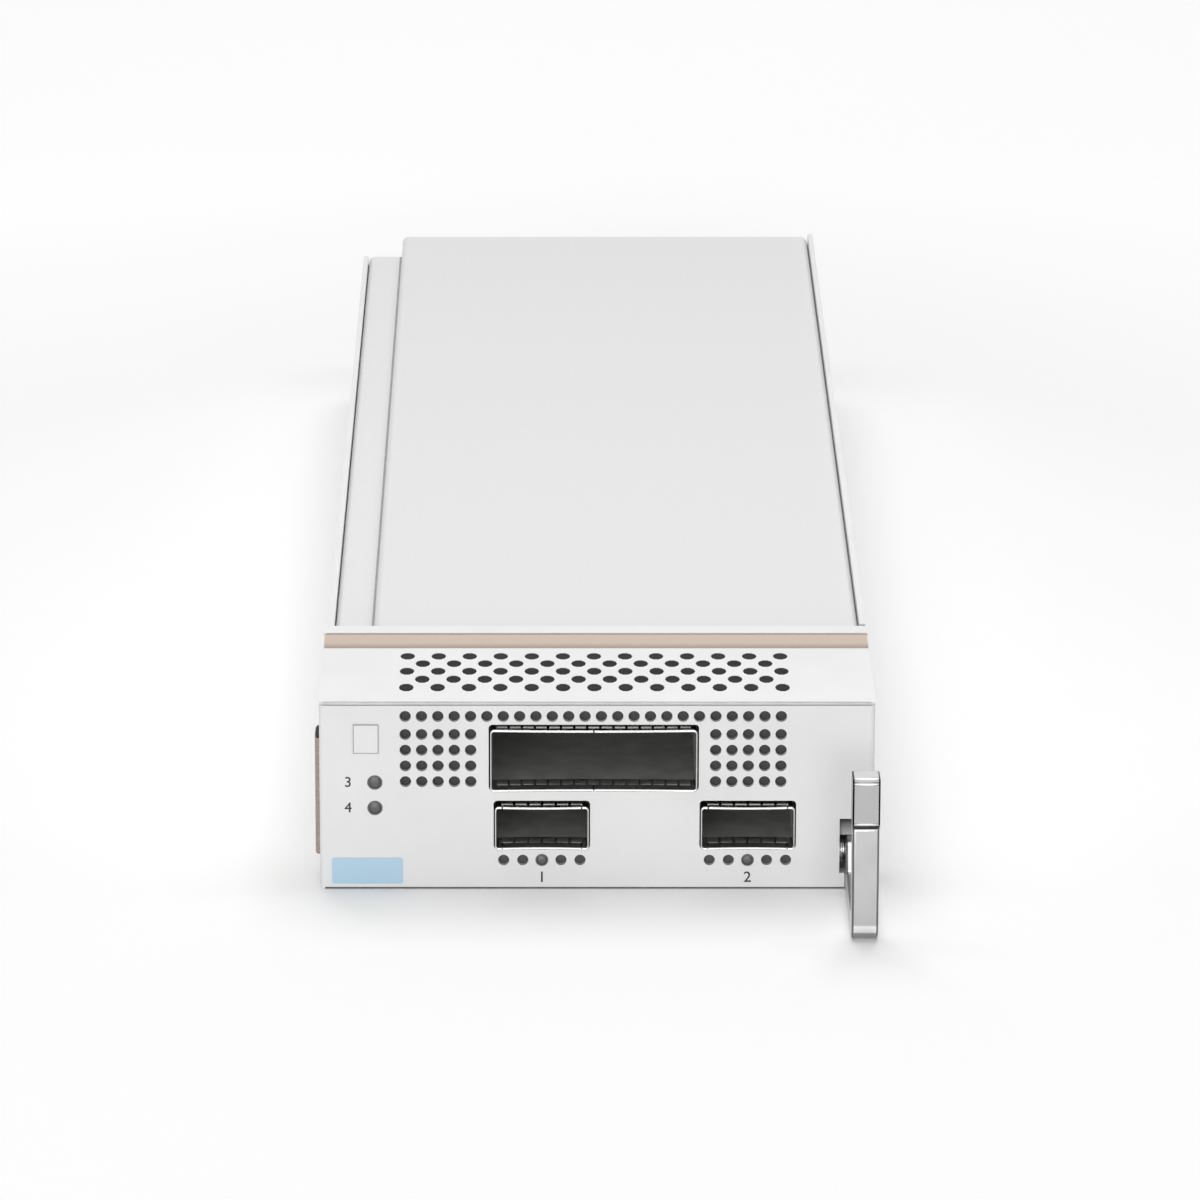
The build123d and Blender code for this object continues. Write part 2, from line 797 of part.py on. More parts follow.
for number, x in enumerate(client_port_x, 1):
    pipe_end = face_y + board_set_back - cover_gap
    with BuildPart() as client_pipe:
        with BuildSketch(Plane.XZ.offset(-face_y)):
            with Locations((x, client_light_height)):
                RegularPolygon(client_lens_diameter / 2 - lens_gap, round_sides)
        extrude(amount=-(pipe_end - face_y))
        box(
            (x - light_block_half, pipe_end - light_block_half, client_light_height - light_block_half),
            (x + light_block_half, pipe_end + light_block_length, board_low),
        )
    finish(client_pipe.part, f"client_light_{number}")

# Blank plates on the face: a round-cornered name plate and a square one
with BuildPart() as name_plate:
    with BuildSketch(Plane.XZ.offset(-face_y)):
        with Locations((-half_width + name_plate_margin, name_plate_low + name_plate_height / 2)):
            add(plate_outline)
    extrude(amount=plate_thickness)
finish(name_plate.part, "name_plate")

with BuildPart() as square_plate:
    with BuildSketch(Plane.XZ.offset(-face_y)):
        square_plate_low = face_height - square_plate_drop
        with Locations((-half_width + square_plate_margin, square_plate_low + square_plate_height / 2)):
            Rectangle(square_plate_width, square_plate_height)
    extrude(amount=plate_thickness)
finish(square_plate.part, "square_plate")

# Processor and framer with their heat sinks


def heat_sink(middle, width, length, low, base, high, fins):
    """A finned block: a flat base with upright fins that run front to back."""
    x, y = middle
    with BuildPart() as sink:
        box((x - width / 2, y - length / 2, low), (x + width / 2, y + length / 2, low + base))
        with Locations((x, y, (low + base + high) / 2)):
            with GridLocations((width - sink_fin) / (fins - 1), 1, fins, 1):
                Box(sink_fin, length, high - low - base)
    return sink.part


sink_high = cover_height - cover_sheet - sink_top_gap
chips = {"processor": (processor_size, processor_y), "framer": (framer_size, framer_y)}
for name, (size, y) in chips.items():
    with BuildPart() as chip:
        with Locations((chips_x, y, board_top + size[2] / 2)):
            Box(*size)
    finish(chip.part, name)
    sink = heat_sink(
        (chips_x, y),
        size[0] + 2 * sink_margin,
        size[1] + 2 * sink_margin,
        board_top + size[2],
        sink_base,
        sink_high,
        sink_fin_count,
    )
    finish(sink, f"{name}_heat_sink")

line_sink = heat_sink(
    (line_port_x, cage_y + line_cage_length - line_sink_length / 2 - sink_margin),
    line_sink_width,
    line_sink_length,
    line_opening_low + line_opening_height + cage_wall,
    line_sink_base,
    cover_height - cover_sheet - line_sink_top_gap,
    line_sink_fins,
)
finish(line_sink, "line_heat_sink")

for number in range(1, memory_count + 1):
    memory_y = processor_y + (number - (memory_count + 1) / 2) * memory_pitch
    with BuildPart() as memory:
        with Locations((memory_x, memory_y, board_top + memory_size[2] / 2)):
            Box(*memory_size)
    finish(memory.part, f"memory_chip_{number}")

# Power converter: a sealed brick on short pins
with BuildPart() as power_module:
    pin_room = [length - 2 * power_pin_margin for length in power_module_size[:2]]
    with Locations((module_x, module_y, board_top + power_pin_height + power_module_size[2] / 2)):
        Box(*power_module_size)
    with Locations((module_x, module_y, board_top + power_pin_height / 2)):
        with GridLocations(*pin_room, 2, 2):
            Box(power_pin_width, power_pin_width, power_pin_height)
finish(power_module.part, "power_module")

# Stacking connector between the two boards, in two halves
link_y = line_board_rear - link_rear_margin
link_split = (board_top + line_board_low) / 2
upper_size = (link_size[0] - 2 * link_overlap, link_size[1] - link_overlap)
halves = {
    "link_header": (*link_size, board_top, link_split),
    "link_receptacle": (*upper_size, link_split, line_board_low),
}
for name, (width, depth, low, high) in halves.items():
    with BuildPart() as half:
        box((link_x - width / 2, link_y - depth / 2, low), (link_x + width / 2, link_y + depth / 2, high))
    finish(half.part, name)

# Rear connectors, standing on the board and reaching out through the rear wall


def rear_block(x, size):
    width, length, height = size
    box((x - width / 2, rear_face - length, board_top), (x + width / 2, rear_face, board_top + height))


for number, x in enumerate(signal_x, 1):
    with BuildPart() as signal:
        rear_block(x, signal_size)
        with Locations((x, rear_face - signal_slot_depth / 2, board_top + signal_size[2] / 2)):
            with GridLocations(signal_slot_pitch, 1, signal_slot_count, 1):
                Box(signal_slot, signal_slot_depth, signal_size[2] - 2 * signal_wall, mode=Mode.SUBTRACT)
    finish(signal.part, f"signal_connector_{number}")

with BuildPart() as power_connector:
    rear_block(power_x, power_size)
    with Locations((power_x, rear_face - signal_slot_depth / 2, board_top + power_size[2] / 2)):
        with GridLocations(power_slot_pitch, 1, power_slot_count, 1):
            Box(power_slot, signal_slot_depth, power_size[2] - 2 * power_wall, mode=Mode.SUBTRACT)
finish(power_connector.part, "power_connector")

for number, x in enumerate(guide_x, 1):
    with BuildPart() as guide:
        rear_block(x, (guide_width, guide_length, guide_height))
        with BuildSketch(Plane.XZ.offset(-rear_face)):
            with Locations((x, board_top + guide_height / 2)):
                Circle(guide_bore)
        extrude(amount=guide_bore_depth, mode=Mode.SUBTRACT)
    finish(guide.part, f"guide_socket_{number}")

# Ejector lever: a flat J in side view, with a hub, an arm along the bottom and an upright bar
pivot_axis = Plane(origin=(0, pivot_y, pivot_height), x_dir=(0, 1, 0), z_dir=(1, 0, 0))
with BuildPart() as lever:
    web_y = face_y - lever_web_front
    with BuildSketch(Plane.YZ.offset(lever_low_x)) as lever_side:
        Polygon(
            (lever_front, 0),
            (face_y + lever_heel, 0),
            (pivot_y + hub_radius * heel_share, pivot_height - hub_radius * heel_share),
            (pivot_y, pivot_height + hub_radius),
            (web_y, pivot_height + hub_radius),
            (web_y, lever_arm_height),
            (bar_rear, lever_arm_height),
            (bar_rear, lever_bar_top),
            (lever_front, lever_bar_top),
            align=None,
        )
        with Locations((pivot_y, pivot_height)):
            Circle(hub_radius)
        front_corner = lever_side.vertices().sort_by(lambda v: v.X + v.Y + v.Z)[0]
        fillet(front_corner, lever_corner)
    extrude(amount=lever_high_x - lever_low_x)
    elbow = lever.edges().filter_by(Axis.X).sort_by_distance((lever_low_x, bar_rear, lever_arm_height))[0]
    fillet(elbow, lever_inner_corner)
    # Tenon for the grip cap
    tenon_low = (lever_low_x + cap_wall, lever_front + cap_wall, cap_low)
    tenon_high = (lever_high_x - cap_wall, bar_rear - cap_wall, lever_bar_top)
    box((lever_low_x, lever_front, cap_low), (tenon_low[0], bar_rear, lever_bar_top), mode=Mode.SUBTRACT)
    box((tenon_high[0], lever_front, cap_low), (lever_high_x, bar_rear, lever_bar_top), mode=Mode.SUBTRACT)
    box((lever_low_x, lever_front, cap_low), (lever_high_x, tenon_low[1], lever_bar_top), mode=Mode.SUBTRACT)
    box((lever_low_x, tenon_high[1], cap_low), (lever_high_x, bar_rear, lever_bar_top), mode=Mode.SUBTRACT)
    # Pivot bore with a recess for the pin's head
    with BuildSketch(pivot_axis.offset(lever_low_x)):
        Circle(pin_radius + pin_running_gap)
    extrude(amount=lever_high_x - lever_low_x, mode=Mode.SUBTRACT)
    with BuildSketch(pivot_axis.offset(lever_high_x)):
        Circle(pin_head_radius + pin_head_gap)
    extrude(amount=-pin_head_height - pin_head_gap, mode=Mode.SUBTRACT)
finish(lever.part, "lever")

with BuildPart() as grip_cap:
    cap_top = lever_bar_top + cap_top_wall
    box(
        (lever_low_x - cap_side_proud, lever_front - cap_proud, cap_low),
        (lever_high_x + cap_side_proud, bar_rear + cap_proud, cap_top),
    )
    chamfer(grip_cap.edges().filter_by(Axis.X), cap_bevel)
    box(
        (tenon_low[0] - seat_gap, tenon_low[1] - seat_gap, cap_low - sheet),
        (tenon_high[0] + seat_gap, tenon_high[1] + seat_gap, lever_bar_top + seat_gap),
        mode=Mode.SUBTRACT,
    )
finish(grip_cap.part, "grip_cap")

# Pivot bracket: a foot on the floor and an upright ear that holds the pin
with BuildPart() as bracket:
    ear_low_y = face_y + 2 * sheet + seat_gap
    ear_high_y = face_y + bracket_reach
    box((ear_x, ear_low_y, sheet), (ear_x + bracket_sheet, ear_high_y, pivot_height + hub_radius))
    box((ear_x - bracket_reach, ear_low_y, sheet), (ear_x, ear_high_y, sheet + bracket_foot))
    fillet(bracket.edges().filter_by(Axis.X).group_by(Axis.Z)[-1], sheet)
    with BuildSketch(pivot_axis.offset(ear_x)):
        Circle(pin_radius + pin_seat_gap)
    extrude(amount=bracket_sheet, mode=Mode.SUBTRACT)
finish(bracket.part, "lever_bracket")

with BuildPart() as pivot_pin:
    pin_end = lever_high_x - pin_head_height
    with BuildSketch(pivot_axis.offset(ear_x - sheet)):
        Circle(pin_radius)
    extrude(amount=pin_end - ear_x + sheet)
    with BuildSketch(pivot_axis.offset(pin_end)):
        RegularPolygon(pin_head_radius, 6)
    extrude(amount=pin_head_height)
    with BuildSketch(pivot_axis.offset(ear_x)):
        RegularPolygon(pin_head_radius, round_sides)
    extrude(amount=-pin_head_height)
finish(pivot_pin.part, "pivot_pin")

# Torsion spring round the pin, between the ear and the lever
with BuildPart() as spring:
    coil_space = lever_low_x - ear_x - bracket_sheet
    coil_pitch = (coil_space - spring_wire - 2 * seat_gap) / spring_turns
    coil_start = ear_x + bracket_sheet + seat_gap + spring_wire / 2
    with BuildLine():
        coil = Helix(
            coil_pitch,
            coil_pitch * spring_turns,
            spring_radius,
            center=(coil_start, pivot_y, pivot_height),
            direction=(1, 0, 0),
        )
    with BuildSketch(Plane(origin=coil @ 0, z_dir=coil % 0)):
        RegularPolygon(spring_wire / 2, 4)
    sweep(is_frenet=True)
finish(spring.part, "torsion_spring")
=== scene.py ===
import json
import math

import bmesh
import bpy
import numpy as np
from mathutils import Matrix, Vector


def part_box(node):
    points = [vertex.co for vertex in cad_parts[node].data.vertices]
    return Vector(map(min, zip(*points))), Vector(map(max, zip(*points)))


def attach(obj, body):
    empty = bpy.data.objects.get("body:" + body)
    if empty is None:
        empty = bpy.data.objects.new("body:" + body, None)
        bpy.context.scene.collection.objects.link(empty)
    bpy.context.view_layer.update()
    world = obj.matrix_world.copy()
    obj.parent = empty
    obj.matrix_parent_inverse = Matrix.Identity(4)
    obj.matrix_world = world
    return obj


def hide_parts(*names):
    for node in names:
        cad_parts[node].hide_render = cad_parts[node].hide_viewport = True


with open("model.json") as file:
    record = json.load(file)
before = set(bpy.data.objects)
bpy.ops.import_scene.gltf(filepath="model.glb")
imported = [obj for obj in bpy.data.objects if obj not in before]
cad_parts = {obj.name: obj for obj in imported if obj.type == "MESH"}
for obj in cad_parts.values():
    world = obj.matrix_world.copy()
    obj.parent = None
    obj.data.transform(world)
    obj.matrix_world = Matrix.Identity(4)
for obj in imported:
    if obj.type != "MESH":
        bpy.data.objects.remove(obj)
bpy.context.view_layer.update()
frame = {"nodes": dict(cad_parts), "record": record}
nodes = frame["nodes"]
mm = 0.001
print("frame loaded:", len(nodes), "nodes")


# Places that several pieces share, read from the frame
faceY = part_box("faceplate")[0].y
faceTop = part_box("faceplate")[1].z
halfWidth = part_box("faceplate")[1].x


# Camera and light

view = {
    "place": (-9.8 * mm, -1547.0 * mm, 519.8 * mm),
    "lookDown": 16.92,  # degrees below the horizon
    "lens": 226.8,
    "sensor": 36.0,
    "shiftX": 0.0417,  # the photograph is cropped off its middle
    "farthest": 20.0,  # metres
}

studio = {
    "skyStrength": 0.22,
    "floorColour": "fbfbfb",
    "floorHalf": 4.0,
    "floorGlow": (0.1, 0.205),  # what the floor lacks to white, for the eye alone, near the card and away
    "glowMiddle": (0.0, 0.15, 0.0),
    "glowReach": (0.22, 0.42),  # metres from that middle
}


# place and size in metres, power in watts
lamps = {
    "highBack": ((0.0, 1.0, 1.9), (1.4, 1.0), 17.9),
    "lowBack": ((0.0, 2.0, 1.35), (2.2, 1.0), 5.6),
    "overhead": ((0.0, -0.15, 0.85), (0.9, 0.5), 0.85),
    "nearOver": ((0.0, 0.03, 0.5), (0.7, 0.12), 0.57),
    "frontLow": ((-0.3, -2.2, 0.35), (1.8, 0.5), 23.8),
}
lampAim = (0.0, 0.02, 0.02)


def linearColour(hexText):
    # sRGB to linear: c / 12.92 near black, otherwise ((c + 0.055) / 1.055) ^ 2.4
    channels = [int(hexText[i : i + 2], 16) / 255 for i in (0, 2, 4)]
    return tuple(c / 12.92 if c <= 0.04045 else ((c + 0.055) / 1.055) ** 2.4 for c in channels) + (1.0,)


def addNode(tree, kind, settings=None, inputs=None, links=None):
    # settings are the node's own choices, inputs its unlinked sockets, links what feeds it
    node = tree.nodes.new(kind)
    for name, value in (settings or {}).items():
        setattr(node, name, value)
    for name, value in (inputs or {}).items():
        node.inputs[name].default_value = value
    for name, source in (links or {}).items():
        tree.links.new(source, node.inputs[name])
    return node


def makeCamera():
    camera = bpy.data.objects.new("photoCamera", bpy.data.cameras.new("photoCamera"))
    camera.location = view["place"]
    camera.rotation_euler = (math.radians(90 - view["lookDown"]), 0, 0)
    camera.data.lens = view["lens"]
    camera.data.sensor_width = view["sensor"]
    camera.data.shift_x = view["shiftX"]
    camera.data.clip_end = view["farthest"]
    bpy.context.scene.collection.objects.link(camera)
    bpy.context.scene.camera = camera


def seenRays(tree):
    # 1 for what the eye sees, straight or in a mirror or through glass, 0 for light that falls on things
    rays = addNode(tree, "ShaderNodeLightPath")
    seen = rays.outputs["Is Camera Ray"]
    for kind in ("Glossy", "Transmission"):
        pair = {0: seen, 1: rays.outputs[f"Is {kind} Ray"]}
        seen = addNode(tree, "ShaderNodeMath", {"operation": "MAXIMUM"}, links=pair).outputs[0]
    return seen


def makeWorld():
    # an even white studio: the eye and mirrors see white, everything else gets the light's level
    world = bpy.data.worlds.new("whiteStudio")
    world.use_nodes = True
    tree = world.node_tree
    tree.nodes.clear()
    white = (1, 1, 1, 1)
    light = addNode(tree, "ShaderNodeBackground", {}, {"Color": white, "Strength": studio["skyStrength"]})
    plain = addNode(tree, "ShaderNodeBackground", {}, {"Color": white, "Strength": 1.0})
    mix = addNode(tree, "ShaderNodeMixShader",
                  links={0: seenRays(tree), 1: light.outputs[0], 2: plain.outputs[0]})
    addNode(tree, "ShaderNodeOutputWorld", links={"Surface": mix.outputs[0]})
    bpy.context.scene.world = world


def makeLamps():
    # soft boxes: two behind, so that the shadow falls towards the eye, two overhead, a low one in front
    for name, (place, size, power) in lamps.items():
        lamp = bpy.data.objects.new(name, bpy.data.lights.new(name, "AREA"))
        lamp.data.shape = "RECTANGLE"
        lamp.data.size, lamp.data.size_y = size
        lamp.data.energy = power
        lamp.location = place
        lamp.rotation_euler = (Vector(lampAim) - lamp.location).to_track_quat("-Z", "Y").to_euler()
        bpy.context.scene.collection.objects.link(lamp)


def makeFloor():
    half = studio["floorHalf"]
    mesh = bpy.data.meshes.new("studioFloor")
    corners = [(-half, -half, 0), (half, -half, 0), (half, half, 0), (-half, half, 0)]
    mesh.from_pydata(corners, [], [(0, 1, 2, 3)])
    floor = bpy.data.objects.new("studioFloor", mesh)
    bpy.context.scene.collection.objects.link(floor)
    material = bpy.data.materials.new("mattPaperSweep")  # matt white paper: no gloss, keeps the soft shadow
    material.use_nodes = True
    tree = material.node_tree
    tree.nodes.clear()
    paper = addNode(tree, "ShaderNodeBsdfDiffuse", inputs={"Color": linearColour(studio["floorColour"])})
    place = addNode(tree, "ShaderNodeTexCoord").outputs["Object"]
    away = addNode(tree, "ShaderNodeVectorMath", {"operation": "DISTANCE"},
                   {1: studio["glowMiddle"]}, {0: place})
    (near, far), (start, end) = studio["floorGlow"], studio["glowReach"]
    level = addNode(tree, "ShaderNodeMapRange", {},
                    {"From Min": start, "From Max": end, "To Min": near, "To Max": far},
                    {"Value": away.outputs["Value"]})
    glow = addNode(tree, "ShaderNodeMath", {"operation": "MULTIPLY"},
                   links={0: level.outputs[0], 1: seenRays(tree)})
    lit = addNode(tree, "ShaderNodeEmission", {}, {"Color": (1, 1, 1, 1)}, {"Strength": glow.outputs[0]})
    both = addNode(tree, "ShaderNodeAddShader", links={0: paper.outputs[0], 1: lit.outputs[0]})
    addNode(tree, "ShaderNodeOutputMaterial", links={"Surface": both.outputs[0]})
    mesh.materials.append(material)


bpy.context.scene.view_settings.view_transform = "Standard"
makeCamera()
makeWorld()
makeLamps()
makeFloor()
print("camera, light and floor made")


# Materials


def newMaterial(name, colour, roughness, metallic=0.0, **sockets):
    # sockets are further shader inputs, with _ for a space
    material = bpy.data.materials.new(name)
    material.use_nodes = True
    tree = material.node_tree
    shader = tree.nodes["Principled BSDF"]
    values = {"Base Color": linearColour(colour), "Roughness": roughness, "Metallic": metallic}
    for key, value in (values | sockets).items():
        shader.inputs[key.replace("_", " ")].default_value = value
    place = addNode(tree, "ShaderNodeTexCoord")
    return material, tree, shader, place.outputs["Object"]


def grain(tree, place, size, detail=2.0, stretch=(1, 1, 1)):
    # a noise whose lumps are about size metres across, drawn out along an axis by stretch
    scaled = addNode(tree, "ShaderNodeMapping", inputs={"Scale": stretch}, links={"Vector": place})
    noise = addNode(tree, "ShaderNodeTexNoise", inputs={"Scale": 1 / size, "Detail": detail},
                    links={"Vector": scaled.outputs[0]})
    return noise.outputs["Fac"]


def tint(tree, shader, fac, dark, light, low=0.35, high=0.65):
    # the base colour runs from dark to light as fac runs from low to high; a mix's sockets 6 and 7 are
    # its two colours and 0 is the share of the second
    spread = addNode(tree, "ShaderNodeMapRange", {}, {"From Min": low, "From Max": high}, {"Value": fac})
    mix = addNode(tree, "ShaderNodeMix", {"data_type": "RGBA"},
                  {6: linearColour(dark), 7: linearColour(light)}, {0: spread.outputs[0]})
    tree.links.new(mix.outputs[2], shader.inputs["Base Color"])
    return mix.outputs[2]


def crossWaves(tree, place, axes, pitch):
    # threads pitch metres apart that cross along two axes: a wave along each, multiplied
    waves = [addNode(tree, "ShaderNodeTexWave", {"bands_direction": axis},
                     {"Scale": 0.5 / pitch}, {"Vector": place}) for axis in axes]
    weave = addNode(tree, "ShaderNodeMath", {"operation": "MULTIPLY"},
                    links={0: waves[0].outputs["Fac"], 1: waves[1].outputs["Fac"]})
    return weave.outputs[0]


def relief(tree, shader, height, depth, strength=1.0):
    # bumps depth metres high where height is 1
    amounts = {"Strength": strength, "Distance": depth}
    bump = addNode(tree, "ShaderNodeBump", {}, amounts, {"Height": height})
    tree.links.new(bump.outputs[0], shader.inputs["Normal"])


def roughen(tree, shader, fac, low, high):
    # the roughness runs from low to high as fac runs from 0 to 1
    spread = addNode(tree, "ShaderNodeMapRange", {}, {"To Min": low, "To Max": high}, {"Value": fac})
    tree.links.new(spread.outputs[0], shader.inputs["Roughness"])


def clouded(name, dark, light, size, roughness, metallic=0.0, detail=2.0, **sockets):
    # the colour wanders between two near shades, in clouds about size metres across
    material, tree, shader, place = newMaterial(name, light, roughness, metallic, **sockets)
    tint(tree, shader, grain(tree, place, size, detail), dark, light)
    return material


def pebbled(name, colour, size, depth, roughness, **sockets):
    # one colour over a fine relief, with lumps about size metres across and depth metres high
    material, tree, shader, place = newMaterial(name, colour, roughness, **sockets)
    relief(tree, shader, grain(tree, place, size), depth)
    return material


def drawnMetal(name, colour, size, stretch, low, high):
    # bare metal whose roughness wanders between low and high, in lines drawn out by stretch
    material, tree, shader, place = newMaterial(name, colour, high, 1.0)
    roughen(tree, shader, grain(tree, place, size, stretch=stretch), low, high)
    return material


def powderCoatedSteel():
    # baked powder over folded steel: even white, half gloss, very fine orange peel
    material, tree, shader, place = newMaterial("powderCoatedSteel", "e7e7e7", 0.42, IOR=1.5)
    tint(tree, shader, grain(tree, place, 18 * mm), "e5e5e5", "e9e9e9")
    relief(tree, shader, grain(tree, place, 0.7 * mm, 1.0), 0.012 * mm)
    return material


def satinCoatedSheet():
    # thin coated sheet for the cover and tray: satin, with a faint rolled grain and speckle
    material, tree, shader, place = newMaterial("satinCoatedSheet", "dfdfdf", 0.38, IOR=1.5)
    fine = grain(tree, place, 0.6 * mm, 3.0, (1, 0.6, 1))
    tint(tree, shader, fine, "dddddd", "e1e1e1", 0.3, 0.7)
    relief(tree, shader, fine, 0.005 * mm)
    return material


def conductiveFabric():
    # nickel and copper plated polyester over foam: warm tan, matt sheen, a tight plain weave
    material, tree, shader, place = newMaterial("conductiveFabric", "cebeb1", 0.62, 0.15)
    weave = crossWaves(tree, place, ("X", "Y"), 0.45 * mm)
    body = tint(tree, shader, weave, "bbaa9b", "c9baad", 0.0, 1.0)
    low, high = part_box("top_seal")
    depth = addNode(tree, "ShaderNodeSeparateXYZ", links={0: place})
    edges = ((low.y, low.y + 3.4 * mm, "937e72"), (high.y, high.y - 1.1 * mm, "7d6c61"))
    for edge, inner, hexText in edges:  # darker towards the folded edges
        fade = addNode(tree, "ShaderNodeMapRange", {},
                       {"From Min": edge, "From Max": inner, "To Min": 1.0, "To Max": 0.0},
                       {"Value": depth.outputs["Y"]})
        body = addNode(tree, "ShaderNodeMix", {"data_type": "RGBA"}, {7: linearColour(hexText)},
                       {0: fade.outputs[0], 6: body}).outputs[2]
    tree.links.new(body, shader.inputs["Base Color"])
    relief(tree, shader, weave, 0.04 * mm, 0.6)
    return material


def nickelFingerStrip():
    # bright nickel over spring copper, stamped: sharp highlights with a fine rolled grain
    return drawnMetal("nickelFingerStrip", "d8d8d6", 0.5 * mm, (1, 0.2, 1), 0.16, 0.32)


def tinnedCageSteel():
    # tinned sheet gone dull grey inside the ports: a weak cloudy sheen over grey
    material, tree, shader, place = newMaterial("tinnedCageSteel", "a6a6a5", 0.55, 0.1)
    cloud = grain(tree, place, 4 * mm, 3.0)
    tint(tree, shader, cloud, "9f9f9e", "adadac")
    roughen(tree, shader, cloud, 0.45, 0.65)
    return material


def zincPlatedSteel():
    # bright zinc on steel, faintly yellow-blue with cloudy patches
    return clouded("zincPlatedSteel", "babdc0", "cccbc6", 2 * mm, 0.3, 1.0)


def castZinc():
    # die-cast zinc with satin nickel: soft highlights, slight flow mottling
    material, tree, shader, place = newMaterial("castZinc", "bebebe", 0.3, 1.0)
    body = tint(tree, shader, grain(tree, place, 5 * mm), "bbbbbb", "c0c0c0")
    # painted dark side edges, a painted highlight where the edges turn under, painted shade on what faces
    # the table
    burnish(tree, shader, body, "6a6a6a", "ffffff", "b2b2b2", 0.3)
    relief(tree, shader, grain(tree, place, 0.5 * mm), 0.002 * mm)
    return material


def burnish(tree, shader, body, sideDarkReflectionHex, underHighlightHex, bottomShadeHex, sideStart):
    # painted light read from the way the surface faces, how far sideways and how far down: a painted dark
    # reflection on the rounded side edges, a painted highlight on the edges that turn under, and painted
    # shade on what faces the table
    normal = addNode(tree, "ShaderNodeTexCoord").outputs["Normal"]
    facing = addNode(tree, "ShaderNodeSeparateXYZ", links={0: normal})
    sideways = addNode(tree, "ShaderNodeMath", {"operation": "ABSOLUTE"}, links={0: facing.outputs["X"]})
    colour = body
    for source, stops, hexText in (  # the stops give the share of each colour by the way the surface faces
        (facing.outputs["Z"], ((-0.5, 0.0), (-0.42, 1.0), (-0.1, 1.0), (-0.03, 0.0)), underHighlightHex),
        (facing.outputs["Z"], ((-0.99, 0.0), (-0.95, 1.0), (-0.56, 1.0), (-0.46, 0.0)), bottomShadeHex),
        (sideways.outputs[0], ((sideStart, 0.0), (sideStart + 0.1, 1.0), (0.9, 1.0), (0.98, 0.0)), sideDarkReflectionHex),
    ):
        shifted = addNode(tree, "ShaderNodeMapRange", {},
                          {"From Min": -1.0, "From Max": 1.0}, {"Value": source})
        ramp = addNode(tree, "ShaderNodeValToRGB", links={"Fac": shifted.outputs[0]})
        points = ramp.color_ramp.elements
        while len(points) < len(stops):
            points.new(0.5)
        for point, (place, level) in zip(points, stops):
            point.position = (place + 1) / 2
            point.color = (level, level, level, 1)
        colour = addNode(tree, "ShaderNodeMix", {"data_type": "RGBA"}, {7: linearColour(hexText)},
                         {0: ramp.outputs[0], 6: colour}).outputs[2]
    tree.links.new(colour, shader.inputs["Base Color"])


def circuitLaminate():
    # glass-epoxy laminate under a dark grey solder mask: half gloss over a faint copper pattern
    material, tree, shader, place = newMaterial("circuitLaminate", "3a3d3c", 0.35, IOR=1.5)
    bricks = addNode(tree, "ShaderNodeTexBrick", {"offset": 0.5},
                     {"Scale": 1 / (9 * mm), "Mortar Size": 0.03, "Color1": linearColour("383b3a"),
                      "Color2": linearColour("3f4241"), "Mortar": linearColour("565a58")},
                     {"Vector": place})
    tree.links.new(bricks.outputs["Color"], shader.inputs["Base Color"])
    return material


def blackMoulding():
    # glass-filled black nylon, moulded: matt with a fine spark texture
    return pebbled("blackMoulding", "1d1e20", 0.25 * mm, 0.01 * mm, 0.5, IOR=1.52)


def lensPolycarbonate():
    # smoked polycarbonate lens over an unlit lamp: grey, glossy
    return clouded("lensPolycarbonate", "646464", "727272", 1.2 * mm, 0.25, IOR=1.58)


def bluePlate():
    # printed vinyl: flat pale blue with a soft egg-shell surface
    return pebbled("bluePlate", "b4d2e6", 0.3 * mm, 0.004 * mm, 0.45, IOR=1.5)


def whitePlate():
    # blank printed vinyl, nearly the coat's white but smoother
    return pebbled("whitePlate", "e8e8e8", 0.3 * mm, 0.004 * mm, 0.38, IOR=1.5)


def chipEpoxy():
    # moulded epoxy packages: dark grey, matt
    return pebbled("chipEpoxy", "26272a", 0.15 * mm, 0.008 * mm, 0.55)


def anodisedAluminium():
    # clear anodised extrusion: matt silver, drawn along its length
    return drawnMetal("anodisedAluminium", "b4b6b8", 0.6 * mm, (1, 0.05, 1), 0.3, 0.5)


def capZinc():
    # the cap's cast zinc, tumbled a little duller than the lever
    material, tree, shader, place = newMaterial("capZinc", "aaaaaa", 0.34, 1.0)
    body = tint(tree, shader, grain(tree, place, 5 * mm), "a8a8a8", "acacac")
    # painted dark side edges, a painted highlight where the edges turn under, painted shade on what faces
    # the table
    burnish(tree, shader, body, "161616", "ffffff", "505050", 0.06)
    return material


def dullFingers():
    # the same strip inside the port, rubbed dull by modules going in, and darkened as painted shade for the
    # inside of the port
    return clouded("dullFingers", "616160", "787877", 2 * mm, 0.5, 0.3)


def springSteel():
    # spring wire, bright with fine cloudy wear
    return drawnMetal("springSteel", "dededc", 0.3 * mm, (1, 1, 1), 0.18, 0.35)


def lensFace():
    # smoked polycarbonate: lighter at the middle, with painted shade darkening it towards the rim where it
    # meets its hole
    material, tree, shader, _ = newMaterial("lensFace", "6b6b6b", 0.4, IOR=1.58)
    share = addNode(tree, "ShaderNodeAttribute", {"attribute_name": "lensRadius"})
    tint(tree, shader, share.outputs["Fac"], "545454", "161616", 0.45, 0.85)
    return material


def paleInk():
    # the plate's hairline, in mid grey
    return clouded("paleInk", "8a8a8a", "959595", 0.4 * mm, 0.6)


def printInk():
    # screen-printed ink: dark grey, slightly raised and matt
    return clouded("printInk", "2a2b2c", "343536", 0.4 * mm, 0.6)


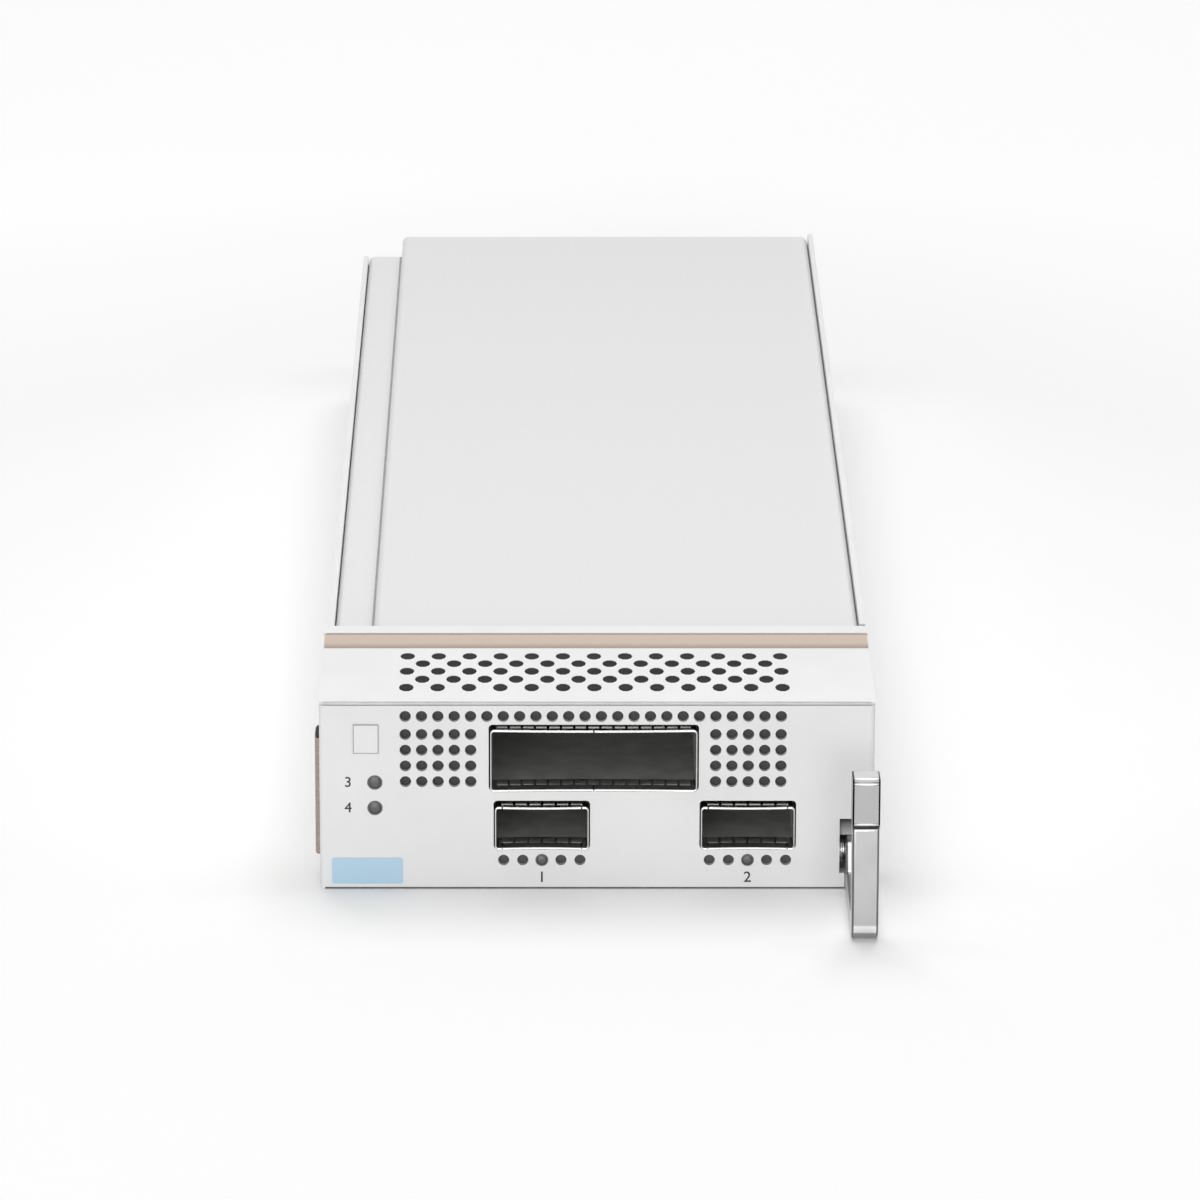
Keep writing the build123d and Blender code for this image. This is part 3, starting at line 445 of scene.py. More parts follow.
def wireScreen(name, gloss):
    # dark grey wire screen behind the vents, standing for the shade inside them: painted shade that reads
    # as an even dark grey, its weave drawn coarser than a real 0.3 mm one
    material, tree, shader, place = newMaterial(name, "4a4a4a", 0.7, Specular_IOR_Level=gloss)
    tint(tree, shader, crossWaves(tree, place, ("X", "Z"), 0.5 * mm), "3e3e3e", "4a4a4a", 0.0, 1.0)
    return material


def lampMoulding():
    # dark grey moulded bar that holds the unlit lamps
    return clouded("lampMoulding", "383839", "434344", 1.5 * mm, 0.5, IOR=1.52)


def sealFabric():
    # the same plated fabric, handled and duller, on the side of the face plate
    return clouded("sealFabric", "958579", "ad9f95", 0.5 * mm, 0.6, 0.1, 3.0)


def bareEdge():
    # the sheet's lower edge in dull grey: painted shade where it meets the floor
    return clouded("bareEdge", "686868", "767676", 1.5 * mm, 0.55, 0.4)


def grooveRubber():
    # light grey strip, satin: its grey is painted shade in the groove under the hood's nose
    return clouded("grooveRubber", "d2d2d2", "dadada", 3 * mm, 0.55, IOR=1.45)


def notchFelt():
    # grey felt behind the lever's notch, darker towards the top: painted shade, where the top of the notch
    # lies in shade
    material, tree, shader, place = newMaterial("notchFelt", "6a6a6a", 0.85)
    height = addNode(tree, "ShaderNodeSeparateXYZ", links={0: place})
    tint(tree, shader, height.outputs["Z"], "b4b4b4", "1c1c1c", 12.0 * mm, 14.9 * mm)
    relief(tree, shader, grain(tree, place, 0.4 * mm, 3.0), 0.03 * mm)
    return material


def seamSealer():
    # grey bead along an inside corner, satin: painted shadow at the foot of the cover's step
    return clouded("seamSealer", "9c9c9c", "a6a6a6", 4 * mm, 0.6)


def foamCore():
    # open-cell urethane foam, carbon black, matt with small pores
    return pebbled("foamCore", "151515", 0.3 * mm, 0.08 * mm, 0.9)


finishes = {
    "white_painted_sheet": powderCoatedSteel(),
    "coated_steel_sheet": satinCoatedSheet(),
    "conductive_fabric": conductiveFabric(),
    "circuit_board": circuitLaminate(),
    "zinc_plated_steel": zincPlatedSteel(),
    "nickel_finger_strip": nickelFingerStrip(),
    "tinned_cage_steel": tinnedCageSteel(),
    "black_moulding": blackMoulding(),
    "lens_polycarbonate": lensPolycarbonate(),
    "blue_plate": bluePlate(),
    "white_plate": whitePlate(),
    "chip_epoxy": chipEpoxy(),
    "anodised_aluminium": anodisedAluminium(),
    "zinc_die_casting": castZinc(),
}


def dressNodes():
    # every node takes the finish of its material slot in the record
    for subpart in frame["record"]["subparts"]:
        materials = nodes[subpart["node"]].data.materials
        materials.clear()
        materials.append(finishes[subpart["material_slot"]])


dressNodes()
print("materials given to the frame's nodes")


# Mesh making


def addPiece(name, shape, slot, finish=None, replaced=(), sharp=35):
    # a shape is an array of points in metres and the faces as lists of point numbers
    places, faces = shape
    mesh = bpy.data.meshes.new(name)
    mesh.from_pydata(places.reshape(-1, 3).tolist(), [], faces)
    shell = bmesh.new()
    shell.from_mesh(mesh)
    bmesh.ops.recalc_face_normals(shell, faces=shell.faces)
    shell.to_mesh(mesh)
    shell.free()
    return placePiece(name, mesh, slot, finish, replaced, sharp)


def placePiece(name, mesh, slot, finish=None, replaced=(), sharp=35, body="chassis"):
    # without a finish of its own it takes its slot's, and edges over sharp degrees stay crisp
    mesh.materials.clear()
    mesh.materials.append(finish or finishes[slot])
    mesh.shade_smooth()
    mesh.set_sharp_from_angle(angle=math.radians(sharp))
    piece = bpy.data.objects.new(name, mesh)
    bpy.context.scene.collection.objects.link(piece)
    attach(piece, body)
    if replaced:
        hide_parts(*replaced)
    return piece


def gridFaces(rows, columns):
    # four-sided faces between neighbours of a grid whose columns close on themselves
    row, column = np.meshgrid(np.arange(rows - 1), np.arange(columns), indexing="ij")
    here, above, after = row * columns, (row + 1) * columns, (column + 1) % columns
    corners = (here + column, here + after, above + after, above + column)
    return np.stack(corners, -1).reshape(-1, 4).tolist()


def tubeFaces(rows, columns):
    # the same with a face over each end
    last = (rows - 1) * columns
    return gridFaces(rows, columns) + [list(range(columns)), list(range(last, last + columns))]


def carry(path, outward, profile):
    # point (i, j) is path point i, moved back by profile depth j and outward by profile height j;
    # the profile closes on itself and both ends are closed
    depth, height = profile[:, 0], profile[:, 1]
    back = np.array((0.0, 1.0, 0.0))
    places = path[:, None] + depth[None, :, None] * back + height[None, :, None] * outward[:, None]
    return places.reshape(-1, 3), tubeFaces(len(path), len(profile))


def carryAcross(left, right, profile, y=faceY, stations=2):
    # the profile, in millimetres, carried straight along X from left to right with its heights upright
    line = np.linspace((left * mm, y, 0), (right * mm, y, 0), stations)
    return carry(line, np.tile((0.0, 0.0, 1.0), (stations, 1)), profile * mm)


def sweepUp(outline, low, high):
    # a closed outline in plan carried straight up, all in millimetres
    places = np.concatenate([np.insert(outline, 2, height, axis=1) for height in (low, high)])
    return places * mm, tubeFaces(2, len(outline))


def slab(left, right, near, far, low, high):
    corners = np.array([(left, near), (right, near), (right, far), (left, far)])
    return sweepUp(corners, low, high)


def evenlySpaced(middle, count, pitch):
    # count places, pitch apart, on both sides of middle
    return middle + (np.arange(count) - (count - 1) / 2) * pitch


def joined(shapes):
    # several shapes as one list of places and faces
    places, faces, first = [], [], 0
    for shapePlaces, shapeFaces in shapes:
        places.append(shapePlaces)
        faces += [[first + number for number in face] for face in shapeFaces]
        first += len(shapePlaces)
    return np.concatenate(places), faces


# Port lips and grounding fingers: nickel strip round each window

lips = {
    "reach": 6.0 * mm,  # how far the strip goes back to the cage
    "proud": 0.8 * mm,
    "wall": 0.35 * mm,
    "bead": 0.29 * mm,  # radius of the rolled front edge
    "sideShare": 0.55,  # of the bead's height along the short sides
    "corner": 0.5 * mm,
    "bow": 0.16 * mm,  # the long edges sag inwards by this at their middle
    "splitGap": 0.32 * mm,
    "shoulder": 1.6,  # depth of the step behind the bead, in its radii
    "noseSteps": 12,
    "edgeSteps": 18,
    "cornerSteps": 7,
}

fingers = {
    "width": 0.84,  # share of the finger pitch
    "endMargin": 0.8 * mm,
    "seat": 0.05 * mm,  # how far a leaf sinks into the strip
    "sheet": 0.14 * mm,
    "above": (4.6 * mm, 0.45 * mm, 0.62 * mm),  # depth of the root and of the tip, and rise
    "below": (6.0 * mm, 2.6 * mm, 0.22 * mm),
    "curl": (0.85, 1.4),
    "steps": 14,
    "roundShare": 0.94,  # the long edges are thinner beyond this share of the width
    "roundSqueeze": 0.8,
}

# middle, half width, low and high of each opening in millimetres, fingers, and splits from the middle
ports = {
    "line": {"x": -0.65, "half": 21.3, "low": 22.1, "high": 34.7, "fingers": 15, "split": 0.0},
    "client1": {"x": -11.5, "half": 9.5, "low": 9.3, "high": 17.8, "fingers": 6, "split": 8.3},
    "client2": {"x": 31.6, "half": 9.5, "low": 9.3, "high": 17.8, "fingers": 6, "split": 8.3},
}


def lipProfile():
    # depth and height off the opening: flat inside, a nose rolled five eighths of the way round, a step
    radius = lips["bead"]
    turn = np.linspace(-math.pi / 2, -7 * math.pi / 4, lips["noseSteps"])
    nose = np.stack((radius * np.cos(turn) - lips["proud"] + radius, radius * np.sin(turn) + radius), 1)
    step = [[radius * lips["shoulder"] - lips["proud"], lips["wall"]], [lips["reach"], lips["wall"]]]
    return np.concatenate(([[lips["reach"], 0.0]], nose, step))


def edgeRun(start, end, port, top):
    # a straight run of the lip between two distances from the middle; its height sags inwards
    # by bow times one minus the square of the distance over the half width
    across = np.linspace(start, end, lips["edgeSteps"])
    side = 1.0 if top else -1.0
    edge = (port["high"] if top else port["low"]) * mm
    height = edge - side * lips["bow"] * (1 - (across / (port["half"] * mm)) ** 2)
    path = np.stack((across, np.full_like(across, faceY), height), 1)
    return path, np.tile((0.0, 0.0, side), (len(across), 1))


def cornerRun(port, top):
    # a quarter circle between the upper or lower run and the right side; outward is thinner towards the
    # side by one minus sideShare, times the square of the cosine of the turn
    r = lips["corner"]
    first = math.pi / 2 if top else 0.0
    turn = np.linspace(first, first - math.pi / 2, lips["cornerSteps"])
    centreX = port["half"] * mm - r
    centreZ = port["high"] * mm - r if top else port["low"] * mm + r
    outward = np.stack((np.cos(turn), np.zeros_like(turn), np.sin(turn)), 1)
    thin = 1 - (1 - lips["sideShare"]) * np.cos(turn)[:, None] ** 2
    return np.array((centreX, faceY, centreZ)) + r * outward, outward * thin


def makeLips(name, port, node):
    # the lip to the right of a split, its mirror image, and between two splits a piece above and below
    profile = lipProfile()
    start = port["half"] * mm - lips["corner"]
    gap = lips["splitGap"] / 2
    split = port["split"] * mm
    top = edgeRun(split + gap, start, port, True)
    low = edgeRun(start, split + gap, port, False)
    topCorner, lowCorner = cornerRun(port, True), cornerRun(port, False)
    path = np.concatenate((top[0][:-1], topCorner[0], lowCorner[0], low[0][1:]))
    outward = np.concatenate((top[1][:-1], topCorner[1], lowCorner[1], low[1][1:]))
    mirror = np.array((-1.0, 1.0, 1.0))
    runs = [(path, outward), (path * mirror, outward * mirror)]
    if split:
        runs += [edgeRun(gap - split, split - gap, port, side) for side in (True, False)]
    shapes = [carry(line, away, profile) for line, away in runs]
    shift = np.array((port["x"] * mm, 0, 0))
    for title, parts, finish in (
        (name, shapes + fingerRow(port, True), None),
        (name + "Floor", fingerRow(port, False), wornShadedStrip),
    ):
        places, faces = joined(parts)
        addPiece(title, (places + shift, faces), "nickel_finger_strip", finish, (node,))


def fingerRow(port, top):
    # each finger is a thin leaf: over its length s from 0 to 1 it rises as rise times the sine of pi times
    # curl's first number times s to the power of its second
    count = port["fingers"]
    pitch = 2 * (port["half"] * mm - fingers["endMargin"]) / count
    root, tip, rise = fingers["above" if top else "below"]
    s = np.linspace(0, 1, fingers["steps"])
    depth = root + (tip - root) * s
    turn, power = fingers["curl"]
    height = rise * np.sin(turn * math.pi * s**power)
    over = np.stack((depth, height + fingers["sheet"]), 1)
    under = np.stack((depth, height), 1)[::-1]
    profile = np.concatenate((over, under))
    base = (port["high"] * mm + lips["wall"] if top else port["low"] * mm) - fingers["seat"]
    share, thin = fingers["roundShare"], fingers["roundSqueeze"]
    squeeze = np.array((thin, 1.0, 1.0, thin))[:, None] * np.array((0.0, 0.0, 1.0))
    leaves = []
    for middle in evenlySpaced(0.0, count, pitch):
        across = middle + pitch * fingers["width"] / 2 * np.array((-1.0, -share, share, 1.0))
        path = np.stack((across, np.full_like(across, faceY), np.full_like(across, base)), 1)
        leaves.append(carry(path, squeeze, profile))
    return leaves


# the lower fingers' strip: rubbed dull, its darker colour painted shade inside the port
wornShadedStrip = dullFingers()
makeLips("linePortLips", ports["line"], "line_port_fingers")
makeLips("clientPortLips1", ports["client1"], "client_port_fingers_1")
makeLips("clientPortLips2", ports["client2"], "client_port_fingers_2")
print("port lips and fingers made")


# Ejector lever, its grip cap and its spring

lever = {
    "weldWithin": 0.002 * mm,
    "flatWithin": 1,  # degrees between the triangles of one flat face
    "roundedOver": 40,  # degrees between two faces
    "roundingSteps": 3,
    "barRounding": 0.55 * mm,
    "capRounding": 0.6 * mm,
    "springRadius": 2.6 * mm,
    "springWire": 0.5 * mm,
    "springTurns": 2.5,
    "springSteps": 90,
    "wireSides": 12,
}


def bevelledCopy(node, name, width, finish=None):
    # the node's own shape, merged from its loose triangles, with its sharp edges rounded by width
    mesh = nodes[node].data.copy()
    shell = bmesh.new()
    shell.from_mesh(mesh)
    bmesh.ops.remove_doubles(shell, verts=shell.verts, dist=lever["weldWithin"])
    flat = math.radians(lever["flatWithin"])
    bmesh.ops.dissolve_limit(shell, angle_limit=flat, verts=shell.verts, edges=shell.edges)
    bmesh.ops.recalc_face_normals(shell, faces=shell.faces)
    shell.to_mesh(mesh)
    shell.free()
    piece = placePiece(name, mesh, "zinc_die_casting", finish, (node,), body="lever")
    bevel = piece.modifiers.new("edgeRounding", "BEVEL")
    bevel.width = width
    bevel.segments = lever["roundingSteps"]
    bevel.limit_method = "ANGLE"
    bevel.angle_limit = math.radians(lever["roundedOver"])


def makeSpring():
    # round wire on a helix: at the angle t the centre is at springRadius times (cos t, sin t) and moves
    # steadily along X, and round it the wire's own circle is drawn in the plane of radius and axis
    low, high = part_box("torsion_spring")
    middleY, middleZ = (low.y + high.y) / 2, (low.z + high.z) / 2
    wire = lever["springWire"] / 2
    t = np.linspace(0, 2 * math.pi * lever["springTurns"], lever["springSteps"])[:, None]
    around = np.linspace(0, 2 * math.pi, lever["wireSides"], endpoint=False)[None, :]
    reach = lever["springRadius"] + wire * np.cos(around)
    along = low.x + wire + (high.x - low.x - 2 * wire) * t / t[-1] + wire * np.sin(around)
    places = np.stack((along, middleY + reach * np.cos(t), middleZ + reach * np.sin(t)), -1)
    shape = (places, tubeFaces(*places.shape[:2]))
    addPiece("leverReturnSpring", shape, "zinc_plated_steel", springSteel(), ("torsion_spring",), sharp=60)


bevelledCopy("lever", "ejectorLever", lever["barRounding"])
bevelledCopy("grip_cap", "leverGripCap", lever["capRounding"], capZinc())
makeSpring()
print("lever, cap and spring made")


# Indicator lenses, printed digits and the square plate's outline

indicators = {
    "statusX": -46.4,  # in millimetres, but for rings, domeShare and sides
    "statusHeights": (23.5, 17.9),
    "statusRadius": 1.55,
    "clientX": (-11.5, 31.6),
    "clientHeight": 6.4,
    "clientRadius": 1.3,
    "dome": 0.22,
    "groove": 0.28,
    "rings": (0.04, 0.25, 0.45, 0.62, 0.76, 0.84, 0.88, 0.94, 1.0),  # shares of the radius
    "domeShare": 0.85,  # the dome's part of the radius
    "proud": 0.02,
    "skirt": 0.3,
    "sides": 32,
}


def lensShape(x, z, radius):
    # a shallow dome whose height falls as the square of the radius, then a groove down to the rim;
    # the attribute lensRadius runs from 0 in the middle to 1 at the rim
    share = np.array(indicators["rings"])
    edge, sides = indicators["domeShare"], indicators["sides"]
    dome = indicators["dome"] * (1 - (share / edge) ** 2) + indicators["proud"]
    rise = np.where(share < edge, dome, -indicators["groove"] * (share - edge) / (1 - edge))
    turn = np.linspace(0, 2 * math.pi, sides, endpoint=False)
    ring = share[:, None] * radius
    depth = np.broadcast_to(faceY / mm - rise[:, None], (len(share), sides))
    places = np.stack((x + ring * np.cos(turn), depth, z + ring * np.sin(turn)), -1).reshape(-1, 3)
    skirt = places[-sides:] + np.array((0, indicators["skirt"], 0))
    faces = tubeFaces(len(share) + 1, sides)
    return np.concatenate((places, skirt)) * mm, faces, np.repeat(np.append(share, 1.0), sides)


def makeLenses():
    spots = [(indicators["statusX"], z, indicators["statusRadius"]) for z in indicators["statusHeights"]]
    spots += [(x, indicators["clientHeight"], indicators["clientRadius"]) for x in indicators["clientX"]]
    shapes = [lensShape(*spot) for spot in spots]
    dishes = joined([shape[:2] for shape in shapes])
    piece = addPiece("indicatorLenses", dishes, "lens_polycarbonate", lensFace())
    share = piece.data.attributes.new("lensRadius", "FLOAT", "POINT")
    share.data.foreach_set("value", np.concatenate([shape[2] for shape in shapes]))


def uprightMesh(flat, x, y, z):
    # flat type or a flat curve, drawn in millimetres, made a mesh and then stood upright at its place
    holder = bpy.data.objects.new("flatCurve", flat)
    bpy.context.scene.collection.objects.link(holder)
    mesh = bpy.data.meshes.new_from_object(holder.evaluated_get(bpy.context.evaluated_depsgraph_get()))
    bpy.data.objects.remove(holder)
    mesh.transform(Matrix.Translation((x * mm, y * mm, z * mm)) @ Matrix.Scale(mm, 4)
                   @ Matrix.Rotation(math.pi / 2, 4, "X"))
    return mesh


digits = {
    "portSize": 3.3,  # all in millimetres
    "lampSize": 3.1,
    "portHeight": 2.55,
    "lampShift": -5.6,
    "bolder": 0.035,  # widens the strokes at their middle, which lies on the face
    "proud": 0.002,
}


def printDigit(name, number, x, z, size):
    flat = bpy.data.curves.new(name, "FONT")
    flat.body, flat.size = str(number), size
    flat.align_x, flat.align_y = "CENTER", "CENTER"
    flat.bevel_depth = digits["bolder"]
    mesh = uprightMesh(flat, x, faceY / mm - digits["proud"], z)
    placePiece(f"{name}{number}", mesh, "white_plate", ink)


ink = printInk()
makeLenses()
for number, x in enumerate(indicators["clientX"], 1):
    printDigit("portDigit", number, x, digits["portHeight"], digits["portSize"])
for number, z in enumerate(indicators["statusHeights"], 3):
    printDigit("lampDigit", number, indicators["statusX"] + digits["lampShift"], z, digits["lampSize"])


plateOutline = {
    "line": 0.14 * mm,
    "proud": 0.02 * mm,
}


def makePlateOutline():
    # a hairline frame round the square plate: a rectangle carried round its own edge
    low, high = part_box("square_plate")
    corners = np.array([(low.x, low.z), (high.x, low.z), (high.x, high.z), (low.x, high.z)])
    inner = corners - np.sign(corners - corners.mean(0)) * plateOutline["line"]
    front, back = low.y - plateOutline["proud"], high.y
    rings = [(corners, back), (corners, front), (inner, front), (inner, back)]
    places = np.stack([np.insert(ring, 1, depth, axis=1) for ring, depth in rings], 1)
    places = np.concatenate((places, places[:1]))
    addPiece("squarePlateOutline", (places, gridFaces(5, 4)), "white_plate", paleInk())


makePlateOutline()
print("lenses, digits and plate outline made")


# Face plate: the folded sheet again, with round holes and a soft lower edge

face = {
    "sheet": 1.2,  # lengths are in millimetres
    "corner": 1.0,
    "hem": 0.45,  # radius of the lower front edge
    "holeSides": 28,
    "windowSteps": 7,  # round each corner of a window
    "hemSteps": 8,
    "bendSteps": 9,
    "flange": (45.4, 40.6, 1.0),  # front and rear in front of the origin, and thickness
    "ventRadius": 1.2,
    "ventPitch": (3.41, 3.45),
    "ventColumns": 24,
    "blockColumns": 5,
    "blockRows": 4,
    "ventX": -0.78,
    "ventTop": 38.0,
    "blockTop": 34.05,
    "lampHole": 1.175,
    "lampPitch": 4.0,
    "lensGap": 0.05,
    "lineWindow": (-0.65, 21.7, 43.9, 14.5),  # middle, low, width and height
    "clientWindow": (8.9, 20.2, 10.6),  # low, width and height
    "windowCorner": 0.8,
    "notch": (50.85, 2.3, 15.5, 51.95, 3.5),  # left, low, high, left below the lever, high below it
    "notchDepth": 36.65,
    "grooveStrip": (0.5, 0.25, 40.36, 41.04),  # depth behind the face, bulge, low and high
}


def roundHole(x, z, radius):
    turn = np.linspace(0, 2 * math.pi, face["holeSides"], endpoint=False)
    return np.stack((x + radius * np.cos(turn), z + radius * np.sin(turn)), 1)


def windowHole(x, low, width, height, corner):
    # a rectangle with quarter-round corners, gone round once
    turn = np.linspace(0, math.pi / 2, face["windowSteps"])
    quarters = []
    for number, (sideX, sideZ) in enumerate(((1, 1), (-1, 1), (-1, -1), (1, -1))):
        angle = turn + number * math.pi / 2
        centreZ = low + height / 2 + sideZ * (height / 2 - corner)
        centre = np.array((x + sideX * (width / 2 - corner), centreZ))
        quarters.append(centre + corner * np.stack((np.cos(angle), np.sin(angle)), 1))
    return np.concatenate(quarters)


def faceHoles():
    stepX, stepZ = face["ventPitch"]
    columns = evenlySpaced(face["ventX"], face["ventColumns"], stepX)
    rows = face["blockTop"] - np.arange(face["blockRows"]) * stepZ
    outer = np.concatenate((columns[: face["blockColumns"]], columns[-face["blockColumns"] :]))
    vents = [(x, face["ventTop"]) for x in columns] + [(x, z) for x in outer for z in rows]
    holes = [roundHole(*vent, face["ventRadius"]) for vent in vents]
    gap, lampHeight, corner = face["lensGap"], indicators["clientHeight"], face["windowCorner"]
    for middle in indicators["clientX"]:
        for step in (-2, -1, 1, 2):
            holes.append(roundHole(middle + step * face["lampPitch"], lampHeight, face["lampHole"]))
        holes.append(roundHole(middle, lampHeight, indicators["clientRadius"] + gap))
    for height in indicators["statusHeights"]:
        holes.append(roundHole(indicators["statusX"], height, indicators["statusRadius"] + gap))
    holes.append(windowHole(*face["lineWindow"], corner))
    holes += [windowHole(x, *face["clientWindow"], corner) for x in indicators["clientX"]]
    return holes


def flatSheet(outline, holes, thickness):
    # a filled flat curve with holes, thickness along its own Z
    flat = bpy.data.curves.new("flatSheet", "CURVE")
    flat.dimensions, flat.fill_mode, flat.extrude = "2D", "BOTH", thickness / 2
    for loop in [outline] + holes:
        line = flat.splines.new("POLY")
        line.points.add(len(loop) - 1)
        line.points.foreach_set("co", np.insert(loop, (2, 2), (0.0, 1.0), axis=1).ravel())
        line.use_cyclic_u = True
    return flat


def makeFace():
    # the front panel is a flat sheet with holes; its sides and flange are outlines in plan carried upwards
    halfX, topZ, front = halfWidth / mm, faceTop / mm, faceY / mm
    sheet, corner, hem = face["sheet"], face["corner"], face["hem"]
    left, low, high, under, lip = face["notch"]
    edge = halfX - corner
    outline = np.array([(-edge, hem), (under, hem), (under, lip), (left, lip), (left, high), (edge, high),
                        (edge, topZ), (-edge, topZ)])
    mesh = uprightMesh(flatSheet(outline, faceHoles(), sheet), 0, front + sheet / 2, 0)
    placePiece("facePanel", mesh, "white_painted_sheet", None, ("faceplate",), sharp=25)
    # the folded sides: in plan a quarter round from the front, then straight back
    turn = np.linspace(-math.pi / 2, 0, face["bendSteps"])
    bend = np.stack((edge + corner * np.cos(turn), front + corner + corner * np.sin(turn)), 1)
    inner, behind = halfX - sheet, front + sheet
    fold = np.concatenate((bend, [(halfX, 0), (inner, 0), (inner, behind), (edge, behind)]))
    start, end, thick = face["flange"]
    folds = joined([
        sweepUp(fold * (-1, 1), 0, topZ),
        sweepUp(fold, high, topZ),
        slab(inner, halfX, -face["notchDepth"], 0, 0, high),  # the right side behind the notch
        slab(-inner, inner, -start, -end, topZ - thick, topZ),
    ])
    addPiece("faceFolds", folds, "white_painted_sheet", None, ("faceplate",))
    # the lower front edge is a quarter round from the face to the underside
    roll = np.linspace(0, math.pi / 2, face["hemSteps"])
    hemCurve = np.stack((hem - hem * np.cos(roll), hem - hem * np.sin(roll)), 1)
    shape = carryAcross(-edge, under, np.concatenate((hemCurve, [(sheet, 0), (sheet, hem)])))
    # its dull grey is painted shade along the edge that meets the floor
    addPiece("faceLowerEdge", shape, "zinc_plated_steel", bareEdge(), ("faceplate",))
    # a soft grey strip in the groove under the hood's nose, its grey painted shade: half an ellipse carried
    # along X
    turn = np.linspace(math.pi / 2, -math.pi / 2, face["bendSteps"])
    depth, bulge, low, high = face["grooveStrip"]
    curve = np.stack((depth - bulge * np.cos(turn), (low + high) / 2 + (high - low) / 2 * np.sin(turn)), 1)
    addPiece("grooveStrip", carryAcross(-edge, edge, curve), "conductive_fabric", grooveRubber())


notchShadeBaffle = {
    "sides": (50.5, 57.0),  # all in millimetres
    "heights": (11.5, 16.0),
    "depth": 1.5,  # of its front, behind the face
    "sheet": 0.3,
    "bulge": 0.12,
    "steps": 10,
}


def makeNotchBaffle():
    # the baffle is a dark sheet standing for the shade in the notch above the hub
    # a strip behind the notch, above the hub: in section a flat back and a front that bulges as a half sine
    (low, high), depth = notchShadeBaffle["heights"], notchShadeBaffle["depth"]
    z = np.linspace(low, high, notchShadeBaffle["steps"])
    front = np.stack((depth - notchShadeBaffle["bulge"] * np.sin(np.pi * (z - low) / (high - low)), z), 1)
    back = depth + notchShadeBaffle["sheet"]
    profile = np.concatenate((front, [(back, high), (back, low)]))
    shape = carryAcross(*notchShadeBaffle["sides"], profile)
    addPiece("notchShadeBaffle", shape, "black_moulding", notchFelt())


makeFace()
makeNotchBaffle()
print("face plate made")


# What shows through the vents: dark screens of painted shade, and the moulded bar behind the lamp holes

screens = {
    "behind": 0.35,  # millimetres behind the sheet
    "sheet": 0.15,
    "panels": ((-42.6, -23.2, 22.4, 35.4), (22.1, 41.2, 22.4, 35.4), (-42.6, 41.2, 35.6, 39.2)),
    "lampBar": (1.5, 10.0, 5.0, 7.9),  # from and to, off the middle lens, low and high
    "lampBarDepth": (0.1, 1.0),  # front and back, behind the sheet
}

hoodShadeScreen = {
    "under": 0.2,  # millimetres below the hood's outer skin, inside its holes
    "half": 46.0,
    "crest": 43.5,
    "nose": (-46.2, 41.1),  # where the hood's skin starts, in Y and Z
    "reach": 30.1,  # from the nose back to the crest
    "span": (5.5, 27.0),  # from the nose backwards
    "steps": 12,
}


def makeScreens():
    # flat slabs behind the three groups of vents, and a bar on each side of each middle lens
    back = faceY / mm + face["sheet"]
    near = back + screens["behind"]
    panels = joined([slab(left, right, near, near + screens["sheet"], low, high)
                     for left, right, low, high in screens["panels"]])
    addPiece("ventShadeScreens", panels, "tinned_cage_steel", wireScreen("wireScreen", 0.5))
    inner, outer, low, high = screens["lampBar"]
    near, far = screens["lampBarDepth"]
    bars = joined([slab(x + start, x + end, back + near, back + far, low, high)
                   for x in indicators["clientX"] for start, end in ((-outer, -inner), (inner, outer))])
    addPiece("lampBars", bars, "black_moulding", lampMoulding())


def makeHoodScreen():
    # a thin sheet under the hood: its height falls from the crest as the square of the way to the nose
    start, nose = hoodShadeScreen["nose"]
    crest, reach = hoodShadeScreen["crest"], hoodShadeScreen["reach"]
    y = start + np.linspace(*hoodShadeScreen["span"], hoodShadeScreen["steps"])
    z = crest - hoodShadeScreen["under"] - (crest - nose) * ((start + reach - y) / reach) ** 2
    over = np.stack((y, z), 1)
    profile = np.concatenate((over, over[::-1] - (0, screens["sheet"])))
    shape = carryAcross(-hoodShadeScreen["half"], hoodShadeScreen["half"], profile, 0.0)
    addPiece("hoodShadeScreen", shape, "tinned_cage_steel", wireScreen("hoodShadeWireScreen", 0.0))


makeScreens()
makeHoodScreen()
print("screens behind the vents made")


# Contacts in the rear connectors' slots

contacts = {
    "signalPitch": 2.4,  # all in millimetres
    "signalColumns": 6,
    "signalRows": 9,
    "rowPitch": 1.6,
    "slotHalf": 0.58,
    "bow": 0.3,
    "sheet": 0.12,
    "leafHeight": 0.9,
    "tip": 0.7,
    "length": 6.8,
    "powerPitch": 6.0,
    "powerBlades": 4,
    "bladeHalf": 0.4,
    "bladeHeight": 7.6,
    "steps": 9,
}


def makeSignalContacts():
    # pairs of leaves in each slot, seen from above: along s from 0 to 1 a leaf leaves the slot's wall
    # by bow times sin(pi s) and comes back to it
    s = np.linspace(0, 1, contacts["steps"])
    away = contacts["bow"] * np.sin(np.pi * s)
    half = contacts["leafHeight"] / 2
    shapes = []
    for node in ("signal_connector_1", "signal_connector_2"):
        low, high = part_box(node)
        middle = (low + high) / 2 / mm
        y = high.y / mm - contacts["tip"] - contacts["length"] * s
        rows = evenlySpaced(middle.z, contacts["signalRows"], contacts["rowPitch"])
        for x in evenlySpaced(middle.x, contacts["signalColumns"], contacts["signalPitch"]):
            for side in (-1, 1):
                outer = np.stack((x + side * (contacts["slotHalf"] - away), y), 1)
                leaf = np.concatenate((outer, (outer - (side * contacts["sheet"], 0))[::-1]))
                shapes += [sweepUp(leaf, z - half, z + half) for z in rows]
    addPiece("signalContacts", joined(shapes), "nickel_finger_strip")


